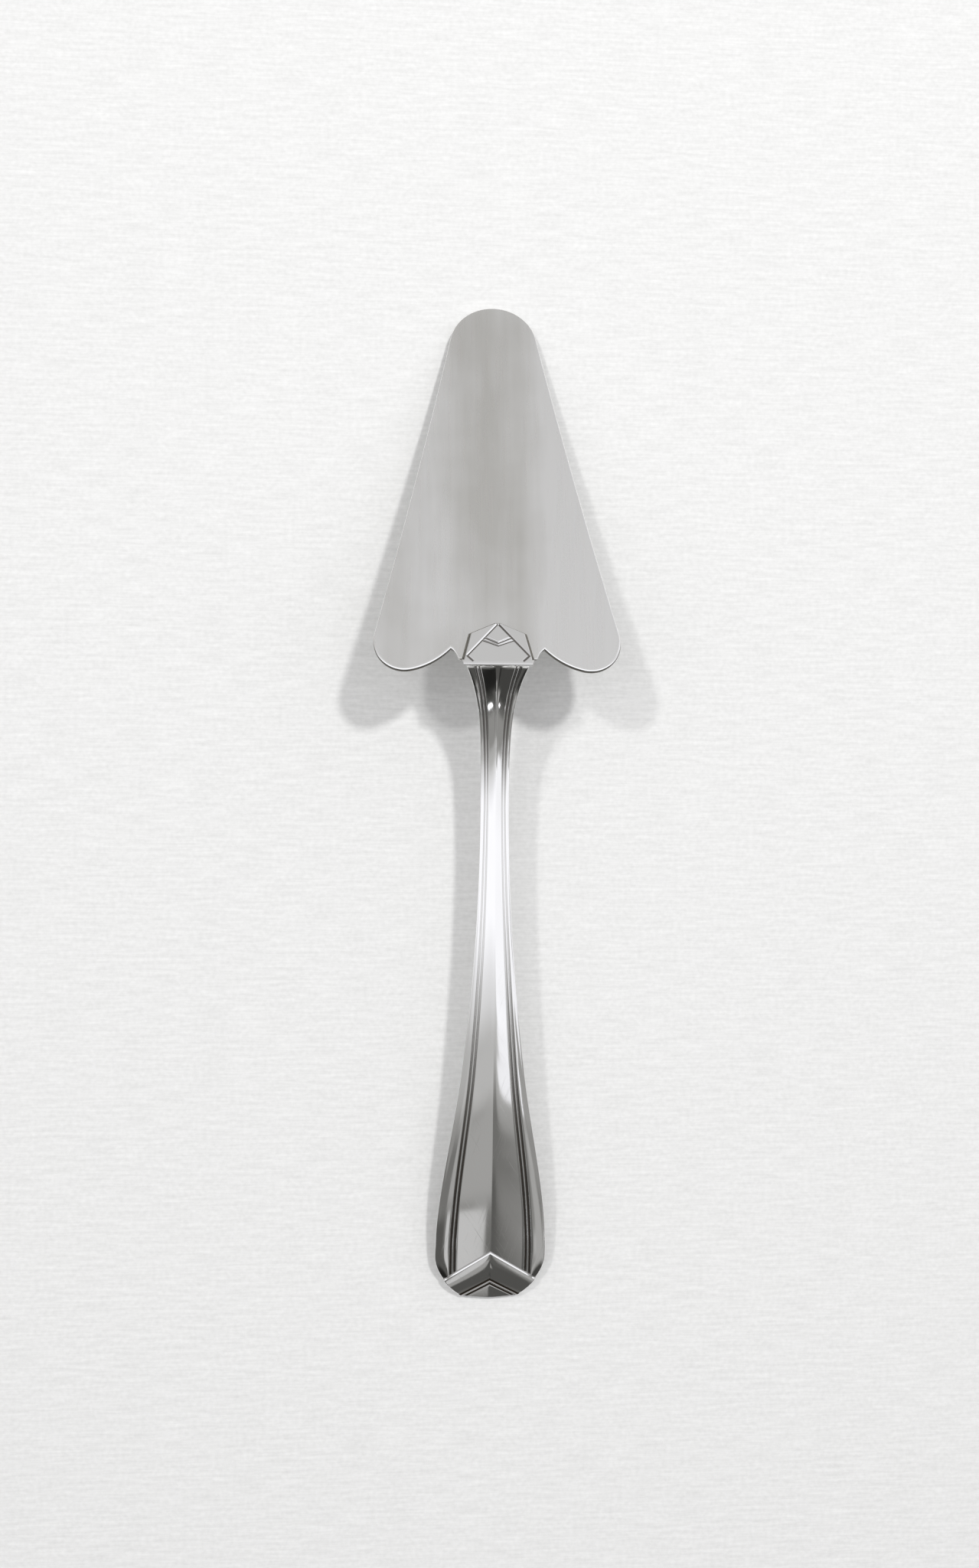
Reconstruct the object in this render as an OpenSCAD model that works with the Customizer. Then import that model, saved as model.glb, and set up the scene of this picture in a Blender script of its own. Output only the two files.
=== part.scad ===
// Cake server of silver-plated metal, lying face down with its back up.
// It rests like a bridge on the blade's tip and on the end of the handle.
// X runs across the server, +Y points to the blade's tip and Z rises from the table.

/* [Blade] */
// Length of the blade from its tip to the rear of its lobes
blade_len = 93.5; // [80:0.5:110]
// Widest span across the two lobes
blade_w = 56; // [50:0.5:66]
// Thickness of the blade's sheet
blade_t = 1.3; // [0.8:0.1:2]
// Radius of the round tip
tip_r = 10.5; // [7:0.5:13]
// How far each long side hollows inward at its middle
side_hollow = 0.4; // [0:0.1:1]
// Radius of each lobe's outer corner
lobe_corner_r = 7; // [5:0.5:8.5]
// Angle at which a lobe's corner passes into its inner sweep
lobe_lean = 13.5; // [8:0.5:20]
// Distance between the two cusps
cusp_gap = 21.2; // [20:0.2:24]
// Depth of the cusps in front of the rear of the lobes
cusp_depth = 5.3; // [4:0.1:6.5]
// Width of the stub between the cusps at its rear edge
stub_w = 17.8; // [17.2:0.1:19.6]
// Distance of the stub's rear edge behind the cusps
stub_len = 2.4; // [1.5:0.1:3.5]
// Slope of the blade as it lies, in degrees
blade_tilt = 15.5; // [13:0.5:18]

/* [Tongue] */
// Length of the tongue on the blade's back, from its point to the lip
tongue_len = 10; // [8.5:0.1:13]
// Width of the tongue at the lip
tongue_w = 16.6; // [14:0.1:17]
// Width of the tongue across its shoulders
tongue_shoulder_w = 12.8; // [10:0.1:14]
// Distance of the shoulders from the tongue's point
tongue_shoulder_len = 2.6; // [1.8:0.1:3.6]
// Width of the blunt point
tongue_point_w = 1.2; // [0.8:0.1:2]
// Thickness of the tongue
tongue_t = 0.9; // [0.7:0.1:1.4]
// Width of the bevel round the tongue
tongue_bevel = 0.5; // [0.2:0.05:0.8]
// Radius of the lip where the tongue turns down into the neck
lip_r = 0.8; // [0.4:0.1:1]
// Thickness of the solder between the tongue and the blade
solder_t = 0.1; // [0.05:0.01:0.2]
// Width of the solder that shows round the tongue
solder_edge = 0.25; // [0.1:0.05:0.4]

/* [Neck] */
// Slope of the neck at its root, in degrees
neck_angle = 38; // [34:1:46]
// Length of the curved neck along the table
neck_run = 48; // [42:0.5:54]
// Width of the neck at its root
root_w = 14.2; // [13:0.2:16]
// Thickness of the neck at its root
root_t = 2.6; // [2:0.1:3]

/* [Handle] */
// Length from the handle's end to the root of the neck, along the table
handle_len = 151; // [138:1:170]
// Narrowest width of the stem
stem_w = 6.7; // [5.5:0.1:8.5]
// Distance of the narrowest place from the handle's end
stem_at = 118; // [108:1:124]
// Thickness of the stem
stem_t = 3.6; // [3:0.1:4.4]
// Height of the stem's middle over the table
stem_h = 14.5; // [12:0.5:17]
// Width at the middle of the grip
grip_w = 14.6; // [12.5:0.1:17]
// Distance of the grip's middle from the handle's end
grip_at = 57; // [50:1:64]
// Taper of each side at the grip's middle, in mm per mm
grip_taper = 0.12; // [0.08:0.01:0.15]
// Widest width of the handle, near its end
end_w = 26.5; // [23:0.5:30]
// Thickness of the handle at its end
end_t = 3; // [2.4:0.1:3.6]
// Length of the cut corners of the end
corner_len = 11; // [9:0.5:13]
// Width of the handle's last edge
edge_w = 13.6; // [11:0.2:16]
// Length of the arched part of the handle, from its end
arch_len = 100; // [85:1:112]
// How much the arch steepens to the end
arch_power = 2.35; // [1.8:0.05:2.8]
// Flat that is worn on the lower edge of the end
worn_flat = 0.15; // [0.1:0.05:0.3]

/* [Ornament] */
// Thickness of the rim as a share of the thickness at the ridge
rim_share = 0.4; // [0.35:0.05:0.6]
// Fall of the panels from the ridge to the threads, as a share of half the thickness
panel_fall = 0.35; // [0.2:0.05:0.4]
// Place of the inner thread groove at the widest place, as a share of half the width
thread_at_end = 0.645; // [0.58:0.005:0.7]
// Place of the inner thread groove on the stem, as a share of half the width
thread_at_stem = 0.51; // [0.4:0.01:0.56]
// Distance between the two thread grooves at the widest place
thread_gap_end = 0.95; // [0.7:0.01:1.2]
// Distance between the two thread grooves on the stem
thread_gap_stem = 0.62; // [0.45:0.01:0.75]
// Depth of the thread grooves
thread_depth = 0.22; // [0.1:0.02:0.3]
// Distance of the chevron's peak from the handle's end
chevron_at = 12.1; // [10:0.1:14]
// Slope of the chevron's arms, in mm per mm
chevron_slope = 0.69; // [0.5:0.01:0.8]
// Height of the chevron's edge over the panels
chevron_rise = 0.3; // [0.2:0.05:0.6]
// Distance of the groove's peak behind the chevron from the handle's end
groove_at = 5.1; // [4.4:0.1:6]
// Depth of that groove
groove_depth = 0.35; // [0.2:0.05:0.5]
// Distance of the small end facet's peak from the handle's end
facet_at = 3.6; // [2.8:0.1:4]

/* [Hidden] */

blade_colour = [0.76, 0.76, 0.74];
handle_colour = [0.85, 0.85, 0.84];
solder_colour = [0.5, 0.5, 0.47];

// Places along the blade are measured from its tip, and heights from its cake side
cusp_s = blade_len - cusp_depth;
stub_s = cusp_s + stub_len;
shoulder_s = stub_s + solder_t;
seat_w = blade_t + solder_t;
face_w = seat_w + tongue_t;

// The neck leaves the blade's plane at this angle
crank = neck_angle + blade_tilt;
root_top_s = shoulder_s + root_t * sin(crank);
root_top_w = root_t * cos(crank);
lip_climb = (face_w - root_top_w) / sin(crank);
lip_s = root_top_s - lip_climb * cos(crank);
lip_cut = lip_r * tan(crank / 2);
point_s = lip_s - tongue_len;
heel_shoulder_s = point_s + tongue_shoulder_len;

// The chevron's band rolls down by this power, and behind it lie a bead and a facet
band_power = 2.2;
bead_share = 0.35;
facet_share = 0.8;

// The relief at the handle's very end, and the height of its middle there
end_relief = -groove_depth * facet_share;
end_half_t = end_t / 2 + end_relief;
end_pitch = atan(arch_power * (stem_h - end_half_t) / arch_len);
end_h = end_half_t * cos(end_pitch) - worn_flat;

// Places of the tip and the end that put the origin under the middle of the whole
reach = shoulder_s * cos(blade_tilt) + root_t / 2 * sin(neck_angle) + handle_len;
tip_y = (reach + end_half_t * sin(end_pitch) - blade_t * sin(blade_tilt)) / 2;
end_y = tip_y - reach;

neck_rise = shoulder_s * sin(blade_tilt) + root_t / 2 * cos(neck_angle) - stem_h;
neck_power = tan(neck_angle) * neck_run / neck_rise;
// The neck widens to its root by this power
root_flare_power = 4.4;
// The rings straighten out over this length in front of the chevron
chevron_fade = 2.5 * chevron_at;
slope_power = 0.7;

function lerp(a, b, x) = a + (b - a) * x;
function ease(x) = let (c = min(max(x, 0), 1)) c * c * (3 - 2 * c);
function mirror_x(points) = [for (i = [len(points) - 1 : -1 : 0]) [-points[i][0], points[i][1]]];
function arc(centre, r, from, to, steps) =
    [for (i = [0 : steps]) let (g = lerp(from, to, i / steps)) centre + r * [cos(g), sin(g)]];

// Outline of the blade, right half, from the tip to the stub, as [across, along]
lobe_c = [blade_w / 2 - lobe_corner_r, blade_len - lobe_corner_r];
cusp = [cusp_gap / 2, cusp_s];
tip_c = [0, tip_r];
spread = norm(lobe_c - tip_c);
side_angle = atan2(lobe_c[0], lobe_c[1] - tip_r) - asin((tip_r - lobe_corner_r) / spread);
hollow_angle = atan(4 * side_hollow / spread);
to_cusp = cusp - lobe_c;
sweep_reach = to_cusp[0] * sin(lobe_lean) - to_cusp[1] * cos(lobe_lean);
sweep_extra = (to_cusp * to_cusp - pow(lobe_corner_r, 2)) / (2 * (sweep_reach + lobe_corner_r));
sweep_c = lobe_c + sweep_extra * [sin(lobe_lean), -cos(lobe_lean)];
sweep_r = lobe_corner_r + sweep_extra;
cusp_angle = atan2(cusp[1] - sweep_c[1], cusp[0] - sweep_c[0]);
// The tip is worn straight over this angle to each side of its middle
tip_flat_angle = 2;
arc_steps = 14;
side_steps = 8;
tip_arc = arc(tip_c, tip_r, -90 + tip_flat_angle, hollow_angle - side_angle, arc_steps);
corner_arc = arc(lobe_c, lobe_corner_r, -side_angle - hollow_angle, 90 + lobe_lean, arc_steps);
sweep_arc = arc(sweep_c, sweep_r, 90 + lobe_lean, cusp_angle, side_steps);
side_from = tip_arc[arc_steps];
side_to = corner_arc[0];
side_in = [-cos(side_angle), sin(side_angle)];
side_line = [for (i = [1 : side_steps - 1])
    let (x = i / side_steps)
    lerp(side_from, side_to, x) + 4 * side_hollow * x * (1 - x) * side_in];
sweep_tail = [for (i = [1 : side_steps]) sweep_arc[i]];
blade_half = concat(tip_arc, side_line, corner_arc, sweep_tail, [[stub_w / 2, stub_s]]);
blade_outline = [for (p = concat(blade_half, mirror_x(blade_half))) [p[0], -p[1]]];

// Half width of the tongue at a place along the blade
function tongue_half(s) =
    s < heel_shoulder_s
        ? lerp(tongue_point_w, tongue_shoulder_w, (s - point_s) / tongue_shoulder_len) / 2
        : lerp(tongue_shoulder_w, tongue_w,
               (s - heel_shoulder_s) / (lip_s - heel_shoulder_s)) / 2;

// A point of the blade's own frame, as [Y, Z]
function on_blade(s, w) =
    [tip_y - s * cos(blade_tilt) + w * sin(blade_tilt), s * sin(blade_tilt) + w * cos(blade_tilt)];

// Half width of the handle at a distance t from its end
function cubic(a, b, slope_a, slope_b, span, x) =
    a * (2 * pow(x, 3) - 3 * pow(x, 2) + 1) + b * (3 * pow(x, 2) - 2 * pow(x, 3))
    + span * (slope_a * (pow(x, 3) - 2 * pow(x, 2) + x) + slope_b * (pow(x, 3) - pow(x, 2)));
function half_w(t) =
    t < corner_len ? lerp(end_w, edge_w, pow(1 - t / corner_len, 2)) / 2 :
    t < grip_at ? cubic(end_w / 2, grip_w / 2, 0, -grip_taper, grip_at - corner_len,
                        (t - corner_len) / (grip_at - corner_len)) :
    t < stem_at ? cubic(grip_w / 2, stem_w / 2, -grip_taper, 0, stem_at - grip_at,
                        (t - grip_at) / (stem_at - grip_at)) :
    lerp(stem_w, root_w, pow((t - stem_at) / (handle_len - stem_at), root_flare_power)) / 2;

// Half thickness of the handle at its ridge
function half_t(t) =
    t < stem_at ? lerp(end_t, stem_t, ease(t / stem_at)) / 2
                : lerp(stem_t, root_t, ease((t - stem_at) / (handle_len - stem_at))) / 2;

// Height of the handle's middle over the table, and its slope
neck_from = handle_len - neck_run;
function arch_left(t) = 1 - min(max(t, 0), arch_len) / arch_len;
function neck_share(t) = max(t - neck_from, 0) / neck_run;
function middle(t) =
    stem_h - (stem_h - end_h) * pow(arch_left(t), arch_power)
    + neck_rise * pow(neck_share(t), neck_power);
function pitch(t) =
    atan(arch_power * (stem_h - end_h) / arch_len * pow(arch_left(t), arch_power - 1)
         + neck_power * neck_rise / neck_run * pow(neck_share(t), neck_power - 1));

// Rise of the chevron end over the plain handle, by the distance of a ring's peak from the end
edge_step = 1.75 * chevron_rise;
bead_at = (facet_at + groove_at) / 2;
function relief(t) =
    t >= chevron_at + edge_step ? 0 :
    t >= chevron_at ? chevron_rise * (chevron_at + edge_step - t) / edge_step :
    t >= groove_at ? chevron_rise - (chevron_rise + groove_depth)
                     * pow((chevron_at - t) / (chevron_at - groove_at), band_power) :
    t >= facet_at ? -groove_depth * lerp(bead_share, 1, abs(t - bead_at) / (groove_at - bead_at)) :
    lerp(end_relief, -groove_depth, t / facet_at);

// Rings near the end bend into a V, so that they follow the chevron
function vee(t) =
    t < facet_at ? vee(facet_at) * t / facet_at :
    t < chevron_at ? chevron_slope * sin(90 * pow(t / chevron_at, slope_power)) :
    chevron_slope * (1 - ease((t - chevron_at) / chevron_fade));
function ring_half(t, half, passes) =
    passes == 0 ? half : ring_half(t, half_w(t - vee(t) * half), passes - 1);
settle_passes = 40;

// One section of the handle, as [share of half width, share of half thickness, thread steps, depth]
function section(share, shelf, rim, threads) =
    [[0, 1, 0, 0], [share / 2, (1 + shelf) / 2, -0.5, 0],
     [share, shelf, -1, 0], [share, shelf, 0, threads], [share, shelf, 1, 0],
     [share, shelf, 2, threads], [share, shelf, 3, 0], [1, rim, 0, 0]];
function breadth(half) = pow(max(2 * half - stem_w, 0) / (end_w - stem_w), 0.4);
function thread_share(half) = lerp(thread_at_stem, thread_at_end, breadth(half));
function thread_step(half) = lerp(thread_gap_stem, thread_gap_end, breadth(half)) / 2;

// The threads run on straight to the chevron, as if the corners of the end were not cut
function full_half(t) = half_w(max(t, corner_len));
function thread_spot(t, x, passes) =
    passes == 0 ? x :
    let (wide = full_half(t - vee(t) * x)) thread_spot(t, thread_share(wide) * wide, passes - 1);

// A whole ring from a half section: top from left to right, then the underside back again
function ring_signs(n) =
    concat([for (i = [n - 1 : -1 : 1]) [i, -1, 1]], [[0, 1, 1]], [for (i = [1 : n - 1]) [i, 1, 1]],
           [for (i = [n - 1 : -1 : 1]) [i, 1, -1]], [[0, 1, -1]], [for (i = [1 : n - 1]) [i, -1, -1]]);

function bar_ring(t) =
    let (half = ring_half(t, half_w(t), settle_passes),
         spot = thread_spot(t, 0, settle_passes),
         step = thread_step(full_half(t - vee(t) * spot)),
         share = min(spot, half - 3.3 * step) / half,
         shelf = lerp(1, 1 - panel_fall, ease(t / groove_at)),
         cut = section(share, shelf, rim_share, t > chevron_at ? thread_depth : 0))
    [for (g = ring_signs(len(cut)))
        let (c = cut[g[0]],
             across = c[0] * half + c[2] * step,
             here = t - vee(t) * across,
             out = c[1] * half_t(here) - c[3] + relief(t),
             turn = pitch(here))
        [g[1] * across,
         end_y + here - g[2] * out * sin(turn),
         max(middle(here) + g[2] * out * cos(turn), 0)]];

function tongue_ring(top, low, top_half, low_half, flat) =
    let (shelf = lerp(1 - panel_fall, 1, flat),
         cut = section(thread_share(root_w / 2), shelf, lerp(rim_share, 1, flat), 0),
         step = thread_step(root_w / 2) / root_w * 2,
         centre = (top + low) / 2,
         up = (top - low) / 2)
    [for (g = ring_signs(len(cut)))
        let (c = cut[g[0]],
             half = g[2] > 0 ? top_half : low_half,
             across = (c[0] + c[2] * step) * half,
             p = centre + g[2] * c[1] * up)
        [g[1] * across, p[0], p[1]]];

// The lip: four rings that swing round it while their lower edge climbs the shoulder
lip_centre = [lip_s - lip_cut, face_w - lip_r];
lip_fall = (lip_climb + lip_cut) / 2;
function lip_point(i) =
    i == 0 ? [lip_s + lip_fall * cos(crank), face_w - lip_fall * sin(crank)]
           : lip_centre + lip_r * [sin(crank * (3 - i) / 2), cos(crank * (3 - i) / 2)];
function lip_ring(i) =
    let (p = lip_point(i), x = (i + 1) / 4)
    tongue_ring(on_blade(p[0], p[1]), on_blade(shoulder_s, seat_w * x),
                lerp(root_w / 2, tongue_half(lip_s) - tongue_bevel, ease(x)),
                lerp(root_w / 2, stub_w / 2, ease(x)), ease(x));
function heel_ring(s) =
    tongue_ring(on_blade(s, face_w), on_blade(s, seat_w),
                max(tongue_half(s) - tongue_bevel, tongue_point_w / 4), tongue_half(s), 1);

end_places = concat([for (i = [0 : 4]) facet_at * i / 4], [bead_at],
                    [for (i = [0 : 8]) lerp(groove_at, chevron_at, i / 8)], [chevron_at + edge_step]);
grip_steps = 22;
grip_places = [for (i = [1 : grip_steps]) lerp(chevron_at + edge_step, neck_from, i / grip_steps)];
neck_steps = 12;
neck_places = [for (i = [1 : neck_steps]) neck_from + neck_run * i / neck_steps];
heel_steps = 5;
heel_places = concat([for (i = [0 : heel_steps]) lerp(stub_s, heel_shoulder_s, i / heel_steps)],
                     [for (i = [1 : 3]) lerp(heel_shoulder_s, point_s, i / 3)]);
handle_rings = concat([for (t = concat(end_places, grip_places, neck_places)) bar_ring(t)],
                      [for (i = [0 : 3]) lip_ring(i)], [for (s = heel_places) heel_ring(s)]);

// Triangles of a skin over equal rings, with both ends closed
function skin_faces(rings, n) =
    concat([for (k = [0 : rings - 2], j = [0 : n - 1])
                let (a = k * n + j, b = k * n + (j + 1) % n)
                each [[a, a + n, b + n], [a, b + n, b]]],
           cap_faces(0, n, false), cap_faces((rings - 1) * n, n, true));
function cap_faces(first, n, far) =
    [for (j = [0 : n / 2 - 2])
        let (a = first + j, b = a + 1, c = first + n - 2 - j, d = c + 1)
        each far ? [[a, c, b], [a, d, c]] : [[a, b, c], [a, c, d]]];
module skin(rings) {
    n = len(rings[0]);
    polyhedron([for (r = rings) each r], skin_faces(len(rings), n), convexity = 6);
}

// Puts a shape drawn on the blade's cake side into its sloping place
module lay_on_blade(w) {
    translate([0, tip_y, 0]) rotate([-blade_tilt, 0, 0]) translate([0, 0, w]) children();
}

module blade() {
    color(blade_colour) lay_on_blade(0) linear_extrude(blade_t) polygon(blade_outline);
}

module handle() {
    color(handle_colour) skin(handle_rings);
}

module solder_seam() {
    seam_places = [point_s - solder_edge, heel_shoulder_s, shoulder_s];
    seam_half = [for (s = seam_places) [tongue_half(max(s, point_s)) + solder_edge, -s]];
    color(solder_colour) {
        lay_on_blade(blade_t) linear_extrude(solder_t) polygon(concat(seam_half, mirror_x(seam_half)));
        lay_on_blade(0) translate([-root_w / 2, -shoulder_s, 0]) cube([root_w, solder_t, seat_w]);
    }
}

blade();
handle();
solder_seam();
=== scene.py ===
"""Looks of a silver-plated cake server that lies face down on a pale cloth.

Sizes are in millimetres and repeat the driving sizes of the part's source. Places along the blade
are measured from its tip, and places along the handle from its end.
"""

import logging
import math
from dataclasses import dataclass, field
from enum import Enum
from typing import Any, Iterable, Sequence

import bmesh
import bpy
from mathutils import Matrix, Vector


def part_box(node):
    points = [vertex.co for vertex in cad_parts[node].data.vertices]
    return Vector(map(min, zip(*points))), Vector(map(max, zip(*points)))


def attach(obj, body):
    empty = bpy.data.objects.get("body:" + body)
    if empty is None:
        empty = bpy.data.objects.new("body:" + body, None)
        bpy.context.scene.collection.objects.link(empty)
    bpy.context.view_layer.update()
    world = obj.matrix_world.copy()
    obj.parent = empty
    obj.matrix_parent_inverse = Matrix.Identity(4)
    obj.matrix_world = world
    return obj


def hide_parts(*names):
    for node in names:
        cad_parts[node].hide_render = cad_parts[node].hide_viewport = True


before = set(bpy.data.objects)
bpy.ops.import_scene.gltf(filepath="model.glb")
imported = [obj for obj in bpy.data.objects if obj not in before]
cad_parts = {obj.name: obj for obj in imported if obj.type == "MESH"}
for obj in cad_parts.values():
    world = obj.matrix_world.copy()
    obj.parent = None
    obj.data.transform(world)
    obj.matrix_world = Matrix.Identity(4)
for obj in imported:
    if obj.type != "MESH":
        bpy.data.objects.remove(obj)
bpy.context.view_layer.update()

MM = 0.001
BODY = "root"
TARNISH_AND_SHADE = "tarnish_and_shade"
RUBBED_AND_HIGHLIGHT = "rubbed_and_highlight"
SOLVE_STEPS = 40

Point2 = tuple[float, float]
Point3 = tuple[float, float, float]
Socket = bpy.types.NodeSocket

log = logging.getLogger("cake_server")


def mix(a: float, b: float, x: float) -> float:
    """Straight blend from a at x = 0 to b at x = 1."""
    return a + (b - a) * x


def ease(x: float) -> float:
    """Soft blend weight that starts and ends level."""
    c = min(max(x, 0.0), 1.0)
    return c * c * (3 - 2 * c)


def between(a: Point2, b: Point2, x: float) -> Point2:
    """Point at the share x of the way from a to b."""
    return (mix(a[0], b[0], x), mix(a[1], b[1], x))


def square_to(a: Point2, b: Point2) -> Point2:
    """Unit step square to the way from a to b, which leads inward where an outline runs that way."""
    run = math.dist(a, b)
    return ((a[1] - b[1]) / run, (b[0] - a[0]) / run)


def spread(start: float, stop: float, count: int) -> list[float]:
    """Evenly spaced values.

    Args:
        start: First value, which is left out of the list.
        stop: Last value.
        count: Number of values.

    Returns:
        The values after start, up to and with stop.
    """
    return [mix(start, stop, i / count) for i in range(1, count + 1)]


def linear(code: str) -> tuple[float, float, float, float]:
    """Turns an sRGB hex colour into Blender's linear colour.

    Args:
        code: Colour such as "#D8D7D2".

    Returns:
        Red, green, blue and alpha, linear.
    """
    parts = [int(code[i:i + 2], 16) / 255 for i in (1, 3, 5)]
    curve = [c / 12.92 if c <= 0.04045 else ((c + 0.055) / 1.055) ** 2.4 for c in parts]
    return (curve[0], curve[1], curve[2], 1.0)


def add_node(tree: bpy.types.NodeTree, kind: str, inputs: dict[Any, Any] | None = None,
             **settings: Any) -> bpy.types.Node:
    """Adds one node with its settings and links.

    Args:
        tree: Node tree that takes the node.
        kind: Blender's name of the node type.
        inputs: Value or linked output for each input, by the input's name or number.
        **settings: Values of the node's own properties.

    Returns:
        The new node.
    """
    node = tree.nodes.new(kind)
    for name, value in settings.items():
        setattr(node, name, value)
    for name, value in (inputs or {}).items():
        if isinstance(value, Socket):
            tree.links.new(value, node.inputs[name])
        else:
            node.inputs[name].default_value = value
    return node


def make_object(name: str, points: Sequence[Point3], faces: Iterable[Sequence[int]],
                flat_faces: int = 0) -> bpy.types.Object:
    """Makes a mesh object from points in millimetres.

    Args:
        name: Name of the piece.
        points: Corner points in the row frame.
        faces: Corner numbers of each face.
        flat_faces: How many of the last faces are plane and stay flat shaded.

    Returns:
        The object, linked to the scene, with its faces turned outward.
    """
    mesh = bpy.data.meshes.new(name)
    mesh.from_pydata([tuple(c * MM for c in p) for p in points], [], [list(f) for f in faces])
    smooth_from = len(mesh.polygons) - flat_faces
    for polygon in mesh.polygons:
        polygon.use_smooth = polygon.index < smooth_from
    work = bmesh.new()
    work.from_mesh(mesh)
    bmesh.ops.recalc_face_normals(work, faces=work.faces)
    work.to_mesh(mesh)
    work.free()
    piece = bpy.data.objects.new(name, mesh)
    bpy.context.scene.collection.objects.link(piece)
    return piece


def tube(rings: int, count: int, capped: bool = True) -> list[Sequence[int]]:
    """Faces of a tube through closed rings of points.

    Args:
        rings: Number of rings, one after the other.
        count: Number of points in each ring.
        capped: True for a face on the first ring and one on the last, at the end of the list.

    Returns:
        Corner numbers of each face.
    """
    faces: list[Sequence[int]] = []
    for k in range(rings - 1):
        for j in range(count):
            a, b = k * count + j, k * count + (j + 1) % count
            faces.append((a, b, b + count, a + count))
    if capped:
        faces += [range(count), range((rings - 1) * count, rings * count)]
    return faces


def carry(piece: bpy.types.Object, name: str, shares: Sequence[float]) -> None:
    """Stores a share for each point of a piece, which its finish reads by the name."""
    layer = piece.data.attributes.new(name, "FLOAT", "POINT")
    layer.data.foreach_set("value", shares)


def seat_piece(piece: bpy.types.Object, node: str) -> None:
    """Lets a finished piece stand for a CAD node and move with its body.

    Args:
        piece: The finished piece.
        node: CAD node that it stands for.
    """
    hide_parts(node)
    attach(piece, BODY)
    log.info("%s stands for %s: %d faces", piece.name, node, len(piece.data.polygons))


# Finishes


class Surface:
    """A material under way: its node tree, and the place on the piece that its patterns follow."""

    MARK_DETAIL = 4.0
    MARK_GRAIN = 0.6

    def __init__(self, name: str) -> None:
        """Starts the material without nodes.

        Args:
            name: Name of the material.
        """
        self.material = bpy.data.materials.new(name)
        self.material.use_nodes = True
        self.tree = self.material.node_tree
        self.tree.nodes.clear()
        self.place = add_node(self.tree, "ShaderNodeTexCoord").outputs["Object"]

    def marks(self, width: float, length: float, angle: float = 0.0) -> Socket:
        """Long thin marks.

        Args:
            width: Width of a mark in millimetres.
            length: Length of a mark in millimetres.
            angle: Turn of the marks from the length of the server, in degrees.

        Returns:
            The output that carries the marks, about 0.5 on the whole.
        """
        turned = add_node(self.tree, "ShaderNodeVectorRotate", {
            "Vector": self.place, "Angle": math.radians(angle)}, rotation_type="Z_AXIS")
        scaled = add_node(self.tree, "ShaderNodeMapping", {
            "Vector": turned.outputs[0],
            "Scale": (1 / (width * MM), 1 / (length * MM), 1 / (length * MM))})
        noise = add_node(self.tree, "ShaderNodeTexNoise", {
            "Vector": scaled.outputs[0], "Scale": 1.0, "Detail": self.MARK_DETAIL,
            "Roughness": self.MARK_GRAIN})
        return noise.outputs["Fac"]

    def finish(self, shader: dict[str, Any], relief: dict[str, Any],
               cut_in: bool = False) -> bpy.types.Material:
        """Adds the fine relief, the shader and the output.

        Args:
            shader: The shader's inputs.
            relief: The fine relief's inputs.
            cut_in: True where the relief is cut into the surface.

        Returns:
            The finished material.
        """
        bump = add_node(self.tree, "ShaderNodeBump", relief, invert=cut_in)
        surface = add_node(self.tree, "ShaderNodeBsdfPrincipled", {
            **shader, "Normal": bump.outputs[0]})
        add_node(self.tree, "ShaderNodeOutputMaterial", {"Surface": surface.outputs[0]})
        return self.material


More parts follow.
